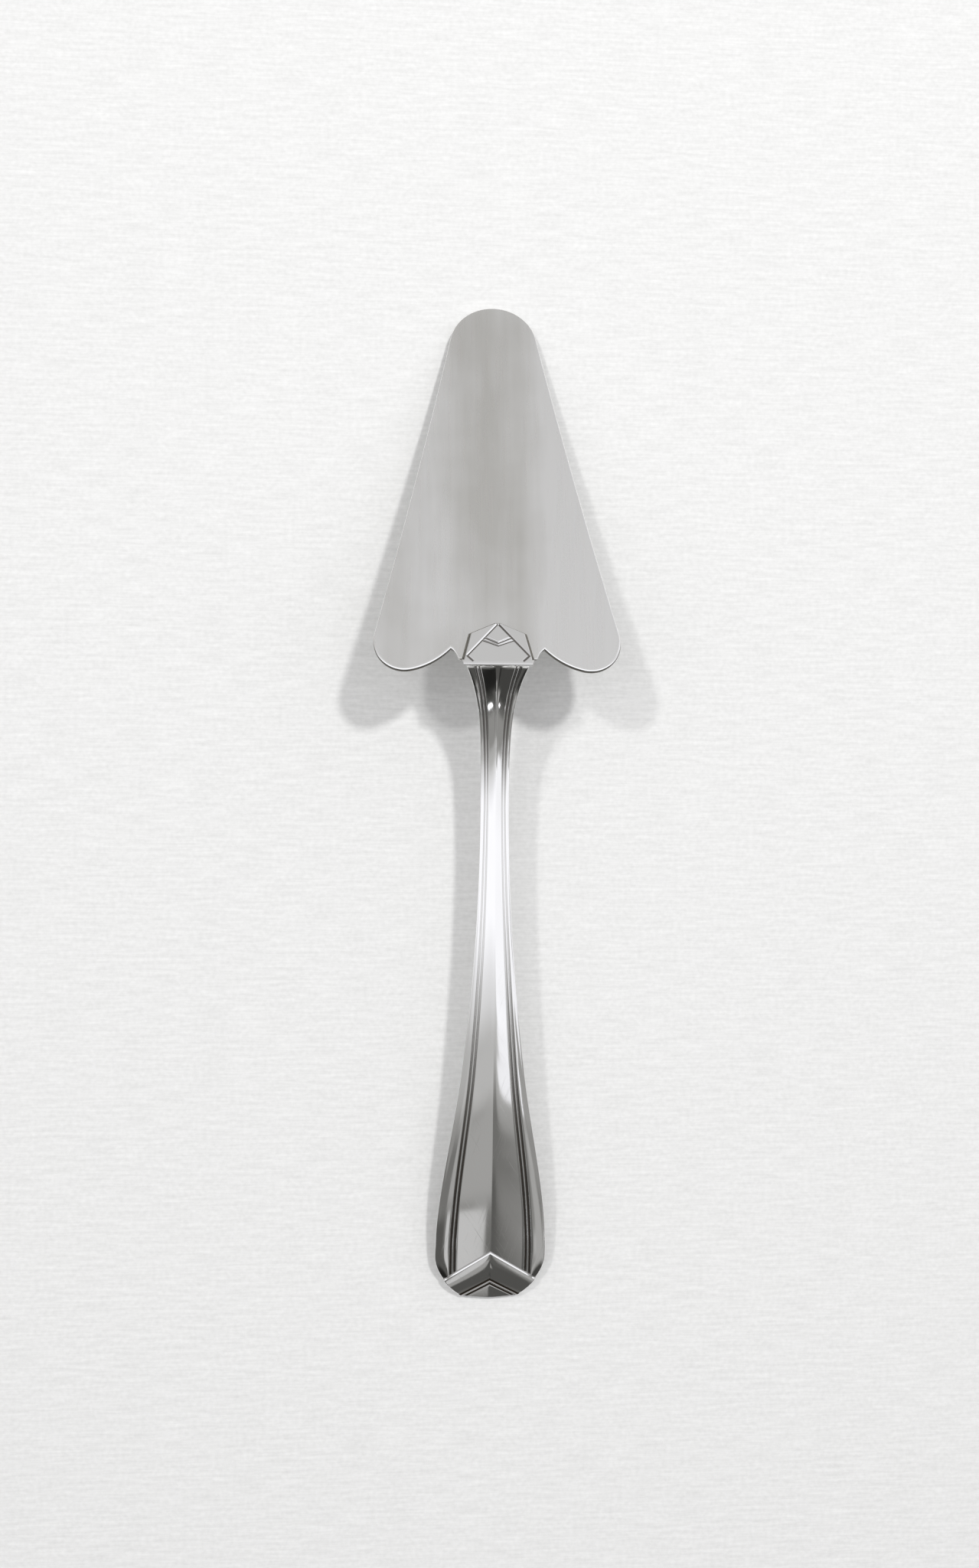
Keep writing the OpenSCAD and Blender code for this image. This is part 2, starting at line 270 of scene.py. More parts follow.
@dataclass(frozen=True)
class SatinSilver:
    """Silver plate on the blade, polished lengthwise with a soft wheel and dulled by use.

    The wheel leaves fine lengthwise lines, so reflections are soft and a little streaked. The edges
    carry a painted highlight over rubbed wear, most of all at the rear, and the sides are painted
    lighter, a painted reflection, the right side more than the left.
    The cut edge of the sheet is darkened at the rear: tarnish with painted shade.
    """

    name: str = "satin_silver_plate"
    dull: str = "#DFDEDA"
    bright: str = "#FBFBFA"
    tarnish_and_shade: str = "#5A564F"
    roughness: float = 0.30
    rough_swing: float = 0.07
    edge_roughness: float = 0.1
    # Painted reflection: the right side, and less the left, are painted lighter.
    reflection_right: Point2 = (4.0, 13.0)
    reflection_right_share: float = 0.36
    reflection_left: Point2 = (-8.0, -22.0)
    reflection_left_share: float = 0.11
    polish_range: Point2 = (0.69, 1.07)
    streak_width: float = 0.45
    streak_length: float = 60.0
    wipe_width: float = 2.2
    wipe_length: float = 45.0
    wipe_angle: float = 7.0
    mark_range: Point2 = (0.6, 1.4)
    mark_depth: float = 0.0016
    band_width: float = 15.0
    band_length: float = 170.0
    cloud_size: float = 26.0
    cloud_detail: float = 3.0
    cloud_share: float = 0.6

    def make(self) -> bpy.types.Material:
        """Builds the material.

        Returns:
            The material.
        """
        plate = Surface(self.name)
        tree = plate.tree
        streaks = plate.marks(self.streak_width, self.streak_length)
        wipes = plate.marks(self.wipe_width, self.wipe_length, self.wipe_angle)
        lines = add_node(tree, "ShaderNodeMath", {0: streaks, 1: wipes}, operation="ADD").outputs[0]
        # Painted highlight over rubbed wear: the edges get a brighter colour and a lower roughness.
        edge = add_node(tree, "ShaderNodeAttribute", attribute_name=RUBBED_AND_HIGHLIGHT).outputs["Fac"]
        rough = add_node(tree, "ShaderNodeMapRange", {
            "Value": lines, "From Min": self.mark_range[0], "From Max": self.mark_range[1],
            "To Min": self.roughness - self.rough_swing,
            "To Max": self.roughness + self.rough_swing})
        rough = add_node(tree, "ShaderNodeMix", {
            "Factor": edge, "A": rough.outputs[0], "B": self.edge_roughness}, data_type="FLOAT")
        polish = add_node(tree, "ShaderNodeMapRange", {
            "Value": self.tone(plate), "From Min": self.polish_range[0],
            "From Max": self.polish_range[1]})
        polish = add_node(tree, "ShaderNodeMath", {0: polish.outputs[0], 1: edge},
                          operation="MAXIMUM")
        colour = add_node(tree, "ShaderNodeMix", {
            "Factor": polish.outputs[0], "A": linear(self.dull), "B": linear(self.bright)},
            data_type="RGBA")
        # Tarnish with painted shade on the rear edge of the sheet.
        dark = add_node(tree, "ShaderNodeAttribute", attribute_name=TARNISH_AND_SHADE)
        colour = add_node(tree, "ShaderNodeMix", {
            "Factor": dark.outputs["Fac"], "A": colour.outputs["Result"],
            "B": linear(self.tarnish_and_shade)}, data_type="RGBA")
        return plate.finish(
            {"Base Color": colour.outputs["Result"], "Metallic": 1.0,
             "Roughness": rough.outputs["Result"]},
            {"Height": lines, "Strength": 1.0, "Distance": self.mark_depth * MM})

    def tone(self, plate: Surface) -> Socket:
        """Broad bands and clouds of polish, and a painted reflection that lightens the sides.

        Args:
            plate: The material under way.

        Returns:
            The output that carries the tone, higher where the plate is brighter.
        """
        clouds = add_node(plate.tree, "ShaderNodeTexNoise", {
            "Vector": plate.place, "Scale": 1 / (self.cloud_size * MM),
            "Detail": self.cloud_detail})
        bands = plate.marks(self.band_width, self.band_length)
        tone = add_node(plate.tree, "ShaderNodeMath", {
            0: clouds.outputs["Fac"], 1: self.cloud_share, 2: bands}, operation="MULTIPLY_ADD")
        across = add_node(plate.tree, "ShaderNodeSeparateXYZ", {"Vector": plate.place}).outputs["X"]
        # Painted reflection lightens the right side, and less the left.
        for (start, stop), share in ((self.reflection_right, self.reflection_right_share),
                                     (self.reflection_left, self.reflection_left_share)):
            side = add_node(plate.tree, "ShaderNodeMapRange", {
                "Value": across, "From Min": start * MM, "From Max": stop * MM, "To Max": share},
                interpolation_type="SMOOTHSTEP")
            tone = add_node(plate.tree, "ShaderNodeMath", {0: tone.outputs[0], 1: side.outputs[0]},
                            operation="ADD")
        return tone.outputs[0]


@dataclass(frozen=True)
class PolishedSilver:
    """Silver plate on the handle, buffed to a mirror and then handled for years.

    The mirror carries faint hairlines, and dark tarnish stays in the grooves that no cloth reaches.
    The same dark colour paints shade at the foot of the chevron's edge, along the tongue's bevel
    and on one side of its engraved lines.
    """

    name: str = "polished_silver_plate"
    silver: str = "#F2F2F1"
    tarnish_and_shade: str = "#4A4238"
    roughness: float = 0.06
    smudge_size: float = 9.0
    smudge_detail: float = 3.0
    smudge_range: Point2 = (0.4, 0.75)
    smudge_roughness: float = 0.05
    hairline_width: float = 0.22
    hairline_length: float = 14.0
    hairline_turns: tuple[float, float] = (18.0, -31.0)
    hairline_range: Point2 = (0.62, 0.78)
    hairline_roughness: float = 0.10
    hairline_depth: float = 0.0012
    tarnish_and_shade_roughness: float = 0.35

    def make(self) -> bpy.types.Material:
        """Builds the material.

        Returns:
            The material.
        """
        plate = Surface(self.name)
        tree = plate.tree
        lines = [plate.marks(self.hairline_width, self.hairline_length, turn)
                 for turn in self.hairline_turns]
        crossed = add_node(tree, "ShaderNodeMath", {0: lines[0], 1: lines[1]}, operation="MAXIMUM")
        hairs = add_node(tree, "ShaderNodeMapRange", {
            "Value": crossed.outputs[0], "From Min": self.hairline_range[0],
            "From Max": self.hairline_range[1]}).outputs[0]
        smudge = add_node(tree, "ShaderNodeTexNoise", {
            "Vector": plate.place, "Scale": 1 / (self.smudge_size * MM),
            "Detail": self.smudge_detail})
        film = add_node(tree, "ShaderNodeMapRange", {
            "Value": smudge.outputs["Fac"], "From Min": self.smudge_range[0],
            "From Max": self.smudge_range[1], "To Min": self.roughness,
            "To Max": self.roughness + self.smudge_roughness})
        # One share carries tarnish in the grooves and painted shade in creases, on bevels and on
        # walls.
        dark = add_node(tree, "ShaderNodeAttribute", attribute_name=TARNISH_AND_SHADE).outputs["Fac"]
        rough = film.outputs[0]
        for share, extra in ((hairs, self.hairline_roughness), (dark, self.tarnish_and_shade_roughness)):
            rough = add_node(tree, "ShaderNodeMath", {0: share, 1: extra, 2: rough},
                             operation="MULTIPLY_ADD").outputs[0]
        colour = add_node(tree, "ShaderNodeMix", {
            "Factor": dark, "A": linear(self.silver), "B": linear(self.tarnish_and_shade)}, data_type="RGBA")
        return plate.finish(
            {"Base Color": colour.outputs["Result"], "Metallic": 1.0, "Roughness": rough},
            {"Height": hairs, "Strength": 1.0, "Distance": self.hairline_depth * MM}, cut_in=True)


@dataclass(frozen=True)
class HardSolder:
    """Hard silver solder that ran out at the joint: greyer than the plate, and slightly grainy."""

    name: str = "hard_solder"
    bright: str = "#A9A79F"
    dark: str = "#6B675E"
    roughness: float = 0.42
    rough_swing: float = 0.1
    grain: float = 0.5
    grain_detail: float = 4.0
    grain_depth: float = 0.03
    grain_strength: float = 0.6

    def make(self) -> bpy.types.Material:
        """Builds the material.

        Returns:
            The material.
        """
        solder = Surface(self.name)
        tree = solder.tree
        grains = add_node(tree, "ShaderNodeTexNoise", {
            "Vector": solder.place, "Scale": 1 / (self.grain * MM),
            "Detail": self.grain_detail}).outputs["Fac"]
        colour = add_node(tree, "ShaderNodeMix", {
            "Factor": grains, "A": linear(self.bright), "B": linear(self.dark)}, data_type="RGBA")
        rough = add_node(tree, "ShaderNodeMapRange", {
            "Value": grains, "To Min": self.roughness - self.rough_swing,
            "To Max": self.roughness + self.rough_swing})
        return solder.finish(
            {"Base Color": colour.outputs["Result"], "Metallic": 1.0,
             "Roughness": rough.outputs[0]},
            {"Height": grains, "Strength": self.grain_strength, "Distance": self.grain_depth * MM})


@dataclass(frozen=True)
class PaleCloth:
    """Plain off-white cotton under the server, with faint crosswise slubs in its weave.

    Its threads are 0.4 mm apart, too fine for the picture, so the weave is drawn coarser.
    """

    name: str = "pale_cotton_cloth"
    white: str = "#FAFAF9"
    shade: str = "#CDCDCB"
    roughness: float = 0.9
    shine: float = 0.1
    slub_width: float = 0.8
    slub_length: float = 9.0
    weave: float = 1.1
    weave_detail: float = 2.0
    weave_share: float = 0.4
    relief_depth: float = 0.05
    relief_strength: float = 0.3

    def make(self) -> bpy.types.Material:
        """Builds the material.

        Returns:
            The material.
        """
        cloth = Surface(self.name)
        tree = cloth.tree
        slubs = cloth.marks(self.slub_length, self.slub_width)
        weave = add_node(tree, "ShaderNodeTexNoise", {
            "Vector": cloth.place, "Scale": 1 / (self.weave * MM), "Detail": self.weave_detail})
        threads = add_node(tree, "ShaderNodeMix", {
            "Factor": self.weave_share, "A": slubs, "B": weave.outputs["Fac"]},
            data_type="FLOAT").outputs["Result"]
        colour = add_node(tree, "ShaderNodeMix", {
            "Factor": threads, "A": linear(self.shade), "B": linear(self.white)}, data_type="RGBA")
        return cloth.finish(
            {"Base Color": colour.outputs["Result"], "Roughness": self.roughness,
             "Specular IOR Level": self.shine},
            {"Height": threads, "Strength": self.relief_strength,
             "Distance": self.relief_depth * MM})


# Shapes


@dataclass(frozen=True)
class BladePlane:
    """The sloping plane of the blade's cake side."""

    tip_y: float
    tilt: float = 15.5

    def place(self, across: float, along: float, over: float) -> Point3:
        """Puts a point of the blade's own frame into the row frame.

        Args:
            across: Distance to the right of the middle.
            along: Distance from the tip towards the handle.
            over: Height over the cake side.

        Returns:
            The point in the row frame.
        """
        cos, sin = math.cos(math.radians(self.tilt)), math.sin(math.radians(self.tilt))
        return (across, self.tip_y - along * cos + over * sin, along * sin + over * cos)


@dataclass
class Blade:
    """Flat pressed sheet with a round tip, flaring sides and a scalloped rear edge."""

    length: float = 93.5
    width: float = 56.0
    thickness: float = 1.3
    tip_r: float = 10.5
    side_hollow: float = 0.4
    corner_r: float = 7.0
    lean: float = 13.5
    cusp_gap: float = 21.2
    cusp_depth: float = 5.3
    stub_w: float = 17.8
    stub_len: float = 2.4
    stub_hollow: float = 0.25
    side_edge: Point2 = (0.25, 0.25)
    rear_edge: Point2 = (0.75, 0.35)
    rear_from: float = 84.0
    # Painted highlight over rubbed wear on the eased edges, weaker on the sides than at the rear.
    side_highlight: float = 0.4
    # Tarnish with painted shade on the outer wall of the rear edge.
    edge_tarnish_and_shade: tuple[float, ...] = (1.0, 1.0, 0.7, 0.0, 0.0, 0.0, 0.0)
    arc_steps: int = 36
    stub_steps: int = 6
    finish: SatinSilver = SatinSilver()

    @property
    def cusp_s(self) -> float:
        """Distance of the cusps from the tip."""
        return self.length - self.cusp_depth

    @property
    def stub_s(self) -> float:
        """Distance of the stub's rear edge from the tip."""
        return self.cusp_s + self.stub_len

    @staticmethod
    def arc(centre: Point2, r: float, start: float, stop: float, steps: int) -> list[Point2]:
        """Points of an arc, from the angle start to the angle stop in degrees."""
        turns = [math.radians(mix(start, stop, i / steps)) for i in range(steps + 1)]
        return [(centre[0] + r * math.cos(g), centre[1] + r * math.sin(g)) for g in turns]

    def half_outline(self) -> list[Point2]:
        """Outline of the right half, from the tip to the stub's corner.

        Returns:
            Its points as (across, along).
        """
        lobe = (self.width / 2 - self.corner_r, self.length - self.corner_r)
        run = math.hypot(lobe[0], lobe[1] - self.tip_r)
        side = math.degrees(math.atan2(lobe[0], lobe[1] - self.tip_r)
                            - math.asin((self.tip_r - self.corner_r) / run))
        hollow = math.degrees(math.atan(4 * self.side_hollow / run))
        tip = self.arc((0.0, self.tip_r), self.tip_r, -90, hollow - side, self.arc_steps)
        corner = self.arc(lobe, self.corner_r, -side - hollow, 90 + self.lean, self.arc_steps)
        long_side = self.bow(tip[-1], corner[0], self.side_hollow, self.arc_steps)[:-1]
        stub_side = self.bow((self.cusp_gap / 2, self.cusp_s), (self.stub_w / 2, self.stub_s),
                             self.stub_hollow, self.stub_steps)
        return tip + long_side + corner + self.sweep(lobe) + stub_side

    def sweep(self, lobe: Point2) -> list[Point2]:
        """Wide arc from a lobe's corner to its cusp.

        Args:
            lobe: Centre of the lobe's corner.

        Returns:
            Points of the arc after its first one.
        """
        sin, cos = math.sin(math.radians(self.lean)), math.cos(math.radians(self.lean))
        cusp = (self.cusp_gap / 2, self.cusp_s)
        to_cusp = (cusp[0] - lobe[0], cusp[1] - lobe[1])
        reach = to_cusp[0] * sin - to_cusp[1] * cos
        square = to_cusp[0] ** 2 + to_cusp[1] ** 2 - self.corner_r ** 2
        extra = square / (2 * (reach + self.corner_r))
        centre = (lobe[0] + extra * sin, lobe[1] - extra * cos)
        stop = math.degrees(math.atan2(cusp[1] - centre[1], cusp[0] - centre[0]))
        return self.arc(centre, self.corner_r + extra, 90 + self.lean, stop, self.arc_steps)[1:]

    @staticmethod
    def bow(first: Point2, last: Point2, depth: float, steps: int) -> list[Point2]:
        """Slightly hollow line.

        Args:
            first: Its start.
            last: Its end.
            depth: How far its middle lies inside the straight line.
            steps: Number of steps.

        Returns:
            Points of the line after its first one.
        """
        inward = square_to(first, last)
        points = []
        for x in spread(0.0, 1.0, steps):
            here, dip = between(first, last, x), 4 * depth * x * (1 - x)
            points.append((here[0] + dip * inward[0], here[1] + dip * inward[1]))
        return points

    def outline(self) -> list[Point2]:
        """Whole outline: down the right side and back up the left."""
        half = self.half_outline()
        return half + [(-x, s) for x, s in reversed(half[1:])]

    @staticmethod
    def inset(outline: list[Point2], depths: list[float]) -> list[Point2]:
        """Moves each point of a closed outline inward.

        Args:
            outline: Closed outline that runs down the right side first.
            depths: Distance between the old and the new outline at each point.

        Returns:
            The smaller outline, with as many points.
        """
        count = len(outline)
        moved = []
        for i, (here, depth) in enumerate(zip(outline, depths)):
            ax, ay = square_to(outline[i - 1], here)
            bx, by = square_to(here, outline[(i + 1) % count])
            share = depth / (1 + ax * bx + ay * by)
            moved.append((here[0] + share * (ax + bx), here[1] + share * (ay + by)))
        return moved

    def build(self, plane: BladePlane) -> None:
        """Makes the sheet with eased edges and dresses it.

        Args:
            plane: The plane of the blade's cake side.
        """
        outline = self.outline()
        notch = (self.cusp_gap - self.stub_w) / 2
        rear = [ease((s - self.rear_from) / self.cusp_depth)
                * ease((abs(x) - self.stub_w / 2) / notch) for x, s in outline]
        edge_w, edge_h = ([mix(a, b, x) for x in rear]
                          for a, b in zip(self.side_edge, self.rear_edge))
        steps = len(self.edge_tarnish_and_shade) - 1
        turns = [math.pi / 2 * i / steps for i in range(steps, -1, -1)]
        levels = [(1 - math.cos(g), 1 - math.sin(g), 0.0, 1.0) for g in turns]
        levels += [(a, b, self.thickness, -1.0) for a, b, _, _ in reversed(levels)]
        points: list[Point3] = []
        for depth, rise, base, way in levels:
            ring = self.inset(outline, [depth * w for w in edge_w])
            points += [plane.place(x, s, base + way * rise * h) for (x, s), h in zip(ring, edge_h)]
        faces = tube(len(levels), len(outline))
        piece = make_object("blade_sheet", points, faces, flat_faces=2)
        # Painted highlight over rubbed wear on every edge ring.
        on_edge = [0.0, *[1.0] * (len(levels) - 2), 0.0]
        carry(piece, RUBBED_AND_HIGHLIGHT, [share * mix(self.side_highlight, 1.0, x) for share in on_edge for x in rear])
        # Tarnish with painted shade on the rear edge's outer wall.
        edge_darkening = (*reversed(self.edge_tarnish_and_shade), *self.edge_tarnish_and_shade)
        carry(piece, TARNISH_AND_SHADE, [share * x for share in edge_darkening for x in rear])
        piece.data.materials.append(self.finish.make())
        seat_piece(piece, "blade")


@dataclass
class Heel:
    """Five-sided tongue of the handle on the blade's back, with its lozenge and chevron lines."""

    length: float = 10.0
    width: float = 16.6
    shoulder_w: float = 12.8
    shoulder_len: float = 2.6
    point_w: float = 1.2
    thickness: float = 0.9
    bevel: float = 0.5
    front_bevel: float = 0.25
    lip_flat: float = 0.6
    lip_ease: float = 0.16
    lip_roll: float = 0.45
    solder_t: float = 0.1
    line_w: float = 0.65
    line_depth: float = 0.2
    # Painted shade on one side of the engraved lines' walls.
    line_shade: float = 0.85
    # Painted shade with tarnish along the tongue's bevel, towards the blade.
    edge_tarnish_and_shade: float = 0.85
    edge_shade_run: float = 1.2
    bevel_ease: float = 0.06
    bevel_foot: float = 0.95
    lip_widen: float = 3.0
    lip_flatten: float = 4.5
    lip_steps: tuple[int, int, int] = (5, 5, 14)
    point_run: float = 1.0
    rings: int = 120
    lozenge_top: Point2 = (0.25, 0.5)
    lozenge_side: Point2 = (7.0, 7.95)
    lozenge_foot: Point2 = (5.75, 9.1)
    chevrons: tuple[tuple[Point2, Point2], ...] = (((2.85, 3.65), (0.0, 4.9)),
                                                   ((3.45, 4.25), (0.0, 5.5)))

    def half(self, from_point: float) -> float:
        """Half width of the tongue's foot.

        Args:
            from_point: Distance from the tongue's point.

        Returns:
            The half width there.
        """
        if from_point < self.shoulder_len:
            return mix(self.point_w, self.shoulder_w, from_point / self.shoulder_len) / 2
        share = (from_point - self.shoulder_len) / (self.length - self.shoulder_len)
        return mix(self.shoulder_w, self.width, share) / 2

    def face_half(self, from_point: float) -> float:
        """Half width of the tongue's face, inside its bevel."""
        return max(self.half(from_point) - self.bevel, self.point_w / 4)

    def cut(self, across: float, from_point: float) -> Point2:
        """Engraving at a place on the tongue's face.

        Args:
            across: Distance to the right of the middle.
            from_point: Distance from the tongue's point.

        Returns:
            Share of the full line depth, and painted shade, which darkens the walls that face
            forward and to the left.
        """
        foot = (self.lozenge_side, self.lozenge_foot)
        lines = [(self.lozenge_top, self.lozenge_side), *self.chevrons, foot]
        ways = [self.way((abs(across), from_point), a, b) for a, b in lines]
        right, back = min(ways, key=lambda way: math.hypot(*way))
        gap = math.hypot(right, back)
        depth = max(0.0, 1 - 2 * gap / self.line_w)
        # Painted shade: the walls that face one way are darker than the others.
        facing = (math.copysign(right, right * across) + back) / (gap * math.sqrt(2) or 1.0)
        if (right, back) == ways[-1]:
            facing = 0.0
        return depth, min(1.0, 2 * depth) * min(max(self.line_shade * (1 - facing), 0.0), 1.0)

    @staticmethod
    def way(p: Point2, a: Point2, b: Point2) -> Point2:
        """Shortest way from a point to a straight line.

        Args:
            p: The point.
            a: Start of the line.
            b: End of the line.

        Returns:
            The way from the point to the line.
        """
        run = (b[0] - a[0], b[1] - a[1])
        along = ((p[0] - a[0]) * run[0] + (p[1] - a[1]) * run[1]) / (run[0] ** 2 + run[1] ** 2)
        c = min(max(along, 0.0), 1.0)
        return a[0] + c * run[0] - p[0], a[1] + c * run[1] - p[1]


@dataclass
class Station:
    """One point of half a section.

    It holds the distance from the middle, the share of half the thickness, an extra height over
    that, and the tarnish.
    """

    across: float
    share: float
    lift: float = 0.0
    dark: float = 0.0


@dataclass
class Handle:
    """Die-struck bar: chevron end, flaring grip, slim stem, trumpet neck, and the tongue in front."""

    blade: Blade
    plane: BladePlane
    heel: Heel = field(default_factory=Heel)
    finish: PolishedSilver = PolishedSilver()
    # Widths, thicknesses and where they are
    length: float = 151.0
    stem_w: float = 6.7
    stem_at: float = 118.0
    stem_t: float = 3.6
    stem_h: float = 14.5
    grip_w: float = 14.6
    grip_at: float = 57.0
    grip_taper: float = 0.12
    end_w: float = 26.5
    end_t: float = 3.0
    corner_len: float = 11.0
    edge_w: float = 13.6
    root_w: float = 14.2
    root_t: float = 2.6
    root_flare: float = 4.4
    # Arch and neck seen from the side
    arch_len: float = 100.0
    arch_power: float = 2.35
    worn_flat: float = 0.15
    neck_angle: float = 38.0
    neck_run: float = 48.0
    # Section: panels that fall from a ridge, a facet at each side and a rounded rim
    rim_share: float = 0.4
    neck_rim_share: float = 0.6
    rim_run: float = 80.0
    panel_fall: float = 0.35
    ridge_r: float = 0.7
    ridge_share: float = 0.2
    facet_crown: float = 0.15
    rim_r: float = 0.2
    rim_most: Point2 = (0.2, 0.8)
    # Two thread grooves on each side, and how much tarnish they hold
    thread_at_end: float = 0.645
    thread_at_stem: float = 0.51
    thread_gap_end: float = 0.95
    thread_gap_stem: float = 0.62
    thread_depth: float = 0.22
    thread_spread: float = 0.4
    thread_open: float = 0.9
    thread_most: float = 0.125
    thread_reach: float = 3.3
    thread_start: float = 0.05
    thread_stain: Point2 = (0.25, 0.75)
    end_stain: float = 0.95
    stem_stain: float = 0.18
    neck_stain: float = 0.7
    stain_from: float = 35.0
    stain_run: float = 50.0
    neck_stain_run: float = 18.0
    # Chevron end: a raised band, a groove with a bead in it, and a plane triangle at the tip
    end_bow: float = 0.3
    end_slope: float = 0.5
    chevron_at: float = 12.1
    chevron_slope: float = 0.69
    chevron_rise: float = 0.3
    chevron_run: float = 1.75
    # Painted shade in the crease at the foot of the chevron's edge.
    foot_shade: float = 0.8
    foot_lap: float = 0.08
    groove_at: float = 5.1
    groove_depth: float = 0.35
    facet_at: float = 3.6
    band_crest: float = 0.06
    bead_r: float = 0.32
    bead_rise: float = 0.15
    bead_fade: float = 0.1
    groove_lap: float = 0.25
    tarnish_and_shade_fade: float = 0.2
    facet_share: float = 0.8
    facet_foot: float = 1.1
    facet_step: float = 0.15
    facet_edge: float = 0.25
    facet_roof: float = 0.045
    fade_share: float = 2.5
    # Steps round a ring, and rings along the bar
    panel_steps: int = 24
    panel_power: float = 1.5
    thread_steps: int = 32
    facet_steps: int = 8
    rim_steps: int = 6
    end_steps: int = 16
    groove_margin: float = 0.3
    edge_places: tuple[float, ...] = (-0.2, -0.1, -0.04, 0.04, 0.1)
    step_shares: tuple[float, ...] = (0.3, 0.6, 0.85, 0.95, 1.0)
    foot_places: tuple[float, ...] = (0.03, 0.08, 0.2, 0.5)
    groove_rings: int = 26
    band_rings: int = 24
    fade_rings: int = 44
    stem_rings: int = 60
    neck_rings: int = 80

    def __post_init__(self) -> None:
        """Works out the places that follow from the sizes."""
        tilt = math.radians(self.plane.tilt)
        neck = math.radians(self.neck_angle)
        self.edge_step = self.chevron_run * self.chevron_rise
        self.foot_at = self.chevron_at + self.edge_step
        self.bead_at = (self.facet_at + self.groove_at) / 2
        self.chevron_fade = self.fade_share * self.chevron_at
        self.end_relief = -self.groove_depth * self.facet_share
        end_half = self.end_t / 2 + self.end_relief
        end_pitch = math.atan(self.arch_power * (self.stem_h - end_half) / self.arch_len)
        self.end_h = end_half * math.cos(end_pitch) - self.worn_flat
        self.shoulder_s = self.blade.stub_s + self.heel.solder_t
        reach = (self.shoulder_s * math.cos(tilt) + self.root_t / 2 * math.sin(neck) + self.length)
        self.end_y = self.plane.tip_y - reach
        self.neck_from = self.length - self.neck_run
        self.neck_rise = (self.shoulder_s * math.sin(tilt) + self.root_t / 2 * math.cos(neck)
                          - self.stem_h)
        self.neck_power = math.tan(neck) * self.neck_run / self.neck_rise
        self.seat_w = self.blade.thickness + self.heel.solder_t
        self.face_w = self.seat_w + self.heel.thickness
        self.crank = neck + tilt
        climb = (self.face_w - self.root_t * math.cos(self.crank)) / math.sin(self.crank)
        self.lip_s = (self.shoulder_s + self.root_t * math.sin(self.crank)
                      - climb * math.cos(self.crank))
        self.lip_front = self.heel.lip_flat * math.sin(neck) / math.sin(self.crank)
        self.lip_rear = self.heel.lip_flat * math.sin(tilt) / math.sin(self.crank)
        self.lip_climb = climb
        self.point_s = self.lip_s - self.heel.length
        self.facet_top = self.half_t(self.facet_at) - self.groove_depth + self.facet_step
        self.dark: list[float] = []

    def half_w(self, t: float) -> float:
        """Half width of the bar.

        Args:
            t: Distance from the handle's end.

        Returns:
            The half width there.
        """
        if t < self.corner_len:
            return mix(self.end_w, self.edge_w, (1 - t / self.corner_len) ** 2) / 2
        if t < self.grip_at:
            return self.cubic(self.end_w / 2, self.grip_w / 2, 0.0, -self.grip_taper,
                              self.corner_len, self.grip_at, t)
        if t < self.stem_at:
            return self.cubic(self.grip_w / 2, self.stem_w / 2, -self.grip_taper, 0.0,
                              self.grip_at, self.stem_at, t)
        share = (t - self.stem_at) / (self.length - self.stem_at)
        return mix(self.stem_w, self.root_w, share ** self.root_flare) / 2

    @staticmethod
    def cubic(a: float, b: float, slope_a: float, slope_b: float, start: float, stop: float,
              t: float) -> float:
        """Smooth curve between two values, with a given slope at each.

        Args:
            a: Value at the start.
            b: Value at the stop.
            slope_a: Slope at the start.
            slope_b: Slope at the stop.
            start: Place of the start.
            stop: Place of the stop.
            t: Place on the curve.

        Returns:
            The value at t.
        """
        span = stop - start
        x = (t - start) / span
        return (a * (2 * x ** 3 - 3 * x ** 2 + 1) + b * (3 * x ** 2 - 2 * x ** 3)
                + span * (slope_a * (x ** 3 - 2 * x ** 2 + x) + slope_b * (x ** 3 - x ** 2)))

    def half_t(self, t: float) -> float:
        """Half thickness of the bar at its ridge.

        Args:
            t: Distance from the handle's end.

        Returns:
            The half thickness there.
        """
        if t < self.stem_at:
            return mix(self.end_t, self.stem_t, ease(t / self.stem_at)) / 2
        share = (t - self.stem_at) / (self.length - self.stem_at)
        return mix(self.stem_t, self.root_t, ease(share)) / 2

    def middle(self, t: float) -> tuple[float, float]:
        """Middle of the bar seen from the side.

        Args:
            t: Distance from the handle's end.

        Returns:
            Its height over the table, and its slope angle in radians.
        """
        left = 1 - min(max(t, 0.0), self.arch_len) / self.arch_len
        share = max(t - self.neck_from, 0.0) / self.neck_run
        fall = self.stem_h - self.end_h
        height = (self.stem_h - fall * left ** self.arch_power
                  + self.neck_rise * share ** self.neck_power)
        slope = (self.arch_power * fall / self.arch_len * left ** (self.arch_power - 1)
                 + self.neck_power * self.neck_rise / self.neck_run
                 * share ** (self.neck_power - 1))
        return height, math.atan(slope)

    def rim_at(self, t: float) -> float:
        """Level of the rim, as a share of half the thickness: higher where the bar is slim."""
        return mix(self.rim_share, self.neck_rim_share, ease((t - self.grip_at) / self.rim_run))

    def relief(self, t: float) -> float:
        """Rise of the chevron end over the plain bar.

        Args:
            t: Distance of the ring's peak from the handle's end.

        Returns:
            The rise, below zero in the groove.
        """
        if t >= self.foot_at:
            return 0.0
        if t >= self.chevron_at:
            return self.chevron_rise * (self.foot_at - t) / self.edge_step
        if t >= self.groove_at:
            run, width = self.chevron_at - t, self.chevron_at - self.groove_at
            drop = self.chevron_rise + self.groove_depth + self.band_crest * width
            return self.chevron_rise + self.band_crest * run - drop * (run / width) ** 2
        off = (t - self.bead_at) / self.bead_r
        return self.bead_rise * max(0.0, 1 - off ** 4) - self.groove_depth

    def vee(self, t: float) -> float:
        """Slope of the V into which a ring is bent.

        Args:
            t: Distance of the ring's peak from the handle's end.

        Returns:
            The slope.
        """
        if t < self.chevron_at:
            return mix(self.end_slope, self.chevron_slope, math.sqrt(t / self.chevron_at))
        return self.chevron_slope * (1 - ease((t - self.chevron_at) / self.chevron_fade))

